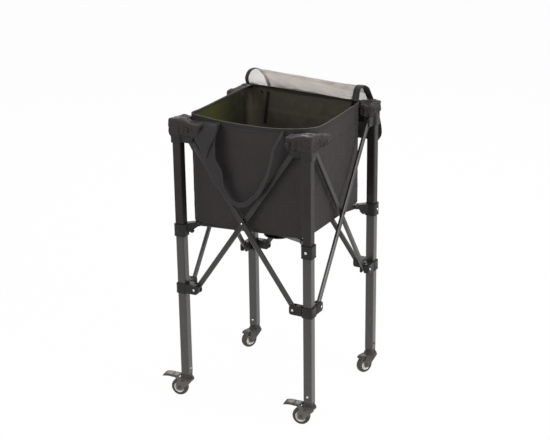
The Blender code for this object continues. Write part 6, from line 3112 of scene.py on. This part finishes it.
@dataclass
class Studio:
    """The camera at the photograph's angle, soft lamps and a pale floor."""

    eye: tuple[float, float, float] = (1.6426, -2.9874, 1.6684)
    yaw: float = 28.966
    pitch: float = -19.227
    roll: float = -0.780
    lens: float = 88.24
    lit_height: float = 0.45
    ambient: float = 0.36
    floor_size: float = 14.0
    floor_white: float = 0.97

    def build(self) -> None:
        """Set the whole studio up."""
        self.camera()
        for lamp in LAMPS:
            self.hang(lamp)
        self.floor()
        self.world()
        bpy.context.scene.view_settings.view_transform = "Standard"

    def camera(self) -> None:
        """Place the camera."""
        yaw, pitch, roll = (math.radians(angle) for angle in (self.yaw, self.pitch, self.roll))
        forward = Vector((-math.sin(yaw) * math.cos(pitch), math.cos(yaw) * math.cos(pitch), math.sin(pitch)))
        right = Vector((math.cos(yaw), math.sin(yaw), 0.0))
        up = right.cross(forward)
        right_rolled = right * math.cos(roll) + up * math.sin(roll)
        up_rolled = up * math.cos(roll) - right * math.sin(roll)
        data = bpy.data.cameras.new("photo_angle")
        data.lens = self.lens
        data.sensor_width = 36.0
        data.sensor_fit = "HORIZONTAL"
        data.clip_start, data.clip_end = 0.05, 60.0
        item = add("photo_angle", data)
        turn = Matrix((right_rolled, up_rolled, -forward)).transposed().to_4x4()
        item.matrix_world = Matrix.Translation(Vector(self.eye) + MIDDLE) @ turn
        bpy.context.scene.camera = item

    def hang(self, lamp: Lamp) -> None:
        """Hang one lamp so that it looks at the bag.

        Args:
            lamp: The lamp.
        """
        data = bpy.data.lights.new(lamp.name, "AREA")
        data.shape = "SQUARE"
        data.size = lamp.size
        data.energy = lamp.power
        data.color = lamp.colour
        item = add(lamp.name, data)
        way = (UP * self.lit_height - Vector(lamp.place)).normalized()
        item.rotation_euler = way.to_track_quat("-Z", "Y").to_euler()
        item.location = Vector(lamp.place) + MIDDLE

    def show_white(self, sheet: NodeSheet, lit: Node, white: Node, share: float = 1.0) -> None:
        """Show white to the camera, mirrors and glass, and the lit shader to every other ray.

        Args:
            sheet: The material's or world's sheet.
            lit: The shader that takes part in the lighting.
            white: The white one.
            share: How much of the white they see.
        """
        path = sheet.node("ShaderNodeLightPath").outputs
        seen = sheet.maths("MAXIMUM", path["Is Camera Ray"], path["Is Glossy Ray"])
        seen = sheet.maths("MAXIMUM", seen, path["Is Transmission Ray"])
        mix = sheet.node("ShaderNodeMixShader")
        for index, value in enumerate((sheet.times(seen, share), lit.outputs[0], white.outputs[0])):
            sheet.feed(mix.inputs[index], value)
        out = next(node for node in sheet.tree.nodes if node.type.startswith("OUTPUT_"))
        sheet.wire(out, Surface=mix.outputs[0])

    def floor(self) -> None:
        """A wide pale floor that keeps the object's shadow and shows white to the camera."""
        bm = bmesh.new()
        bmesh.ops.create_grid(bm, x_segments=12, y_segments=12, size=self.floor_size)
        item = move(link("studio_floor", bm), MIDDLE - UP * 0.0002)
        look = Look("pale floor")
        tone = look.noise(look.place(), 3.0, 3.0, 0.5)
        look.set(Base_Color=look.blend(tone, rgb(0.93, 0.93, 0.93), rgb(0.96, 0.96, 0.955)), Roughness=0.9,
                 Specular_IOR_Level=0.0)
        glow = look.wire(look.node("ShaderNodeEmission"), Color=WHITE, Strength=1.0)
        self.show_white(look, look.shader, glow, self.floor_white)
        wear(item, look.material)

    def world(self) -> None:
        """A white surround that the camera, mirrors and glass see, and a plainer one that lights."""
        world = bpy.data.worlds.new("studio")
        world.use_nodes = True
        bpy.context.scene.world = world
        sheet = NodeSheet(world.node_tree)
        base = sheet.wire(world.node_tree.nodes["Background"], Color=WHITE, Strength=self.ambient)
        white = sheet.wire(sheet.node("ShaderNodeBackground"), Color=WHITE, Strength=1.0)
        self.show_white(sheet, base, white)


# ---- The whole cart ----


def main() -> None:
    """Build every sub-assembly in order."""
    logging.basicConfig(level=logging.INFO, format="%(name)s: %(message)s")
    Studio().build()
    finishes = Finishes()
    heads = HeadStore()
    assemblies = {
        "painted frame": PaintedFrame(heads),
        "brackets": Brackets(heads, finishes),
        **{f"caster {corner.value}": Caster(corner, heads, finishes) for corner in Corner},
        "bag": Bag(finishes),
        "corner pockets": CornerPockets(finishes),
        **{f"handle {face.value}": Handle(face, finishes) for face in (Face.FRONT, Face.BACK)},
        "lid": Lid(finishes),
    }
    for name, assembly in assemblies.items():
        assembly.build()
        log.info("%s built", name)
    heads.set_all(finishes.zinc, finishes.black_steel)


if __name__ == "__main__":
    main()
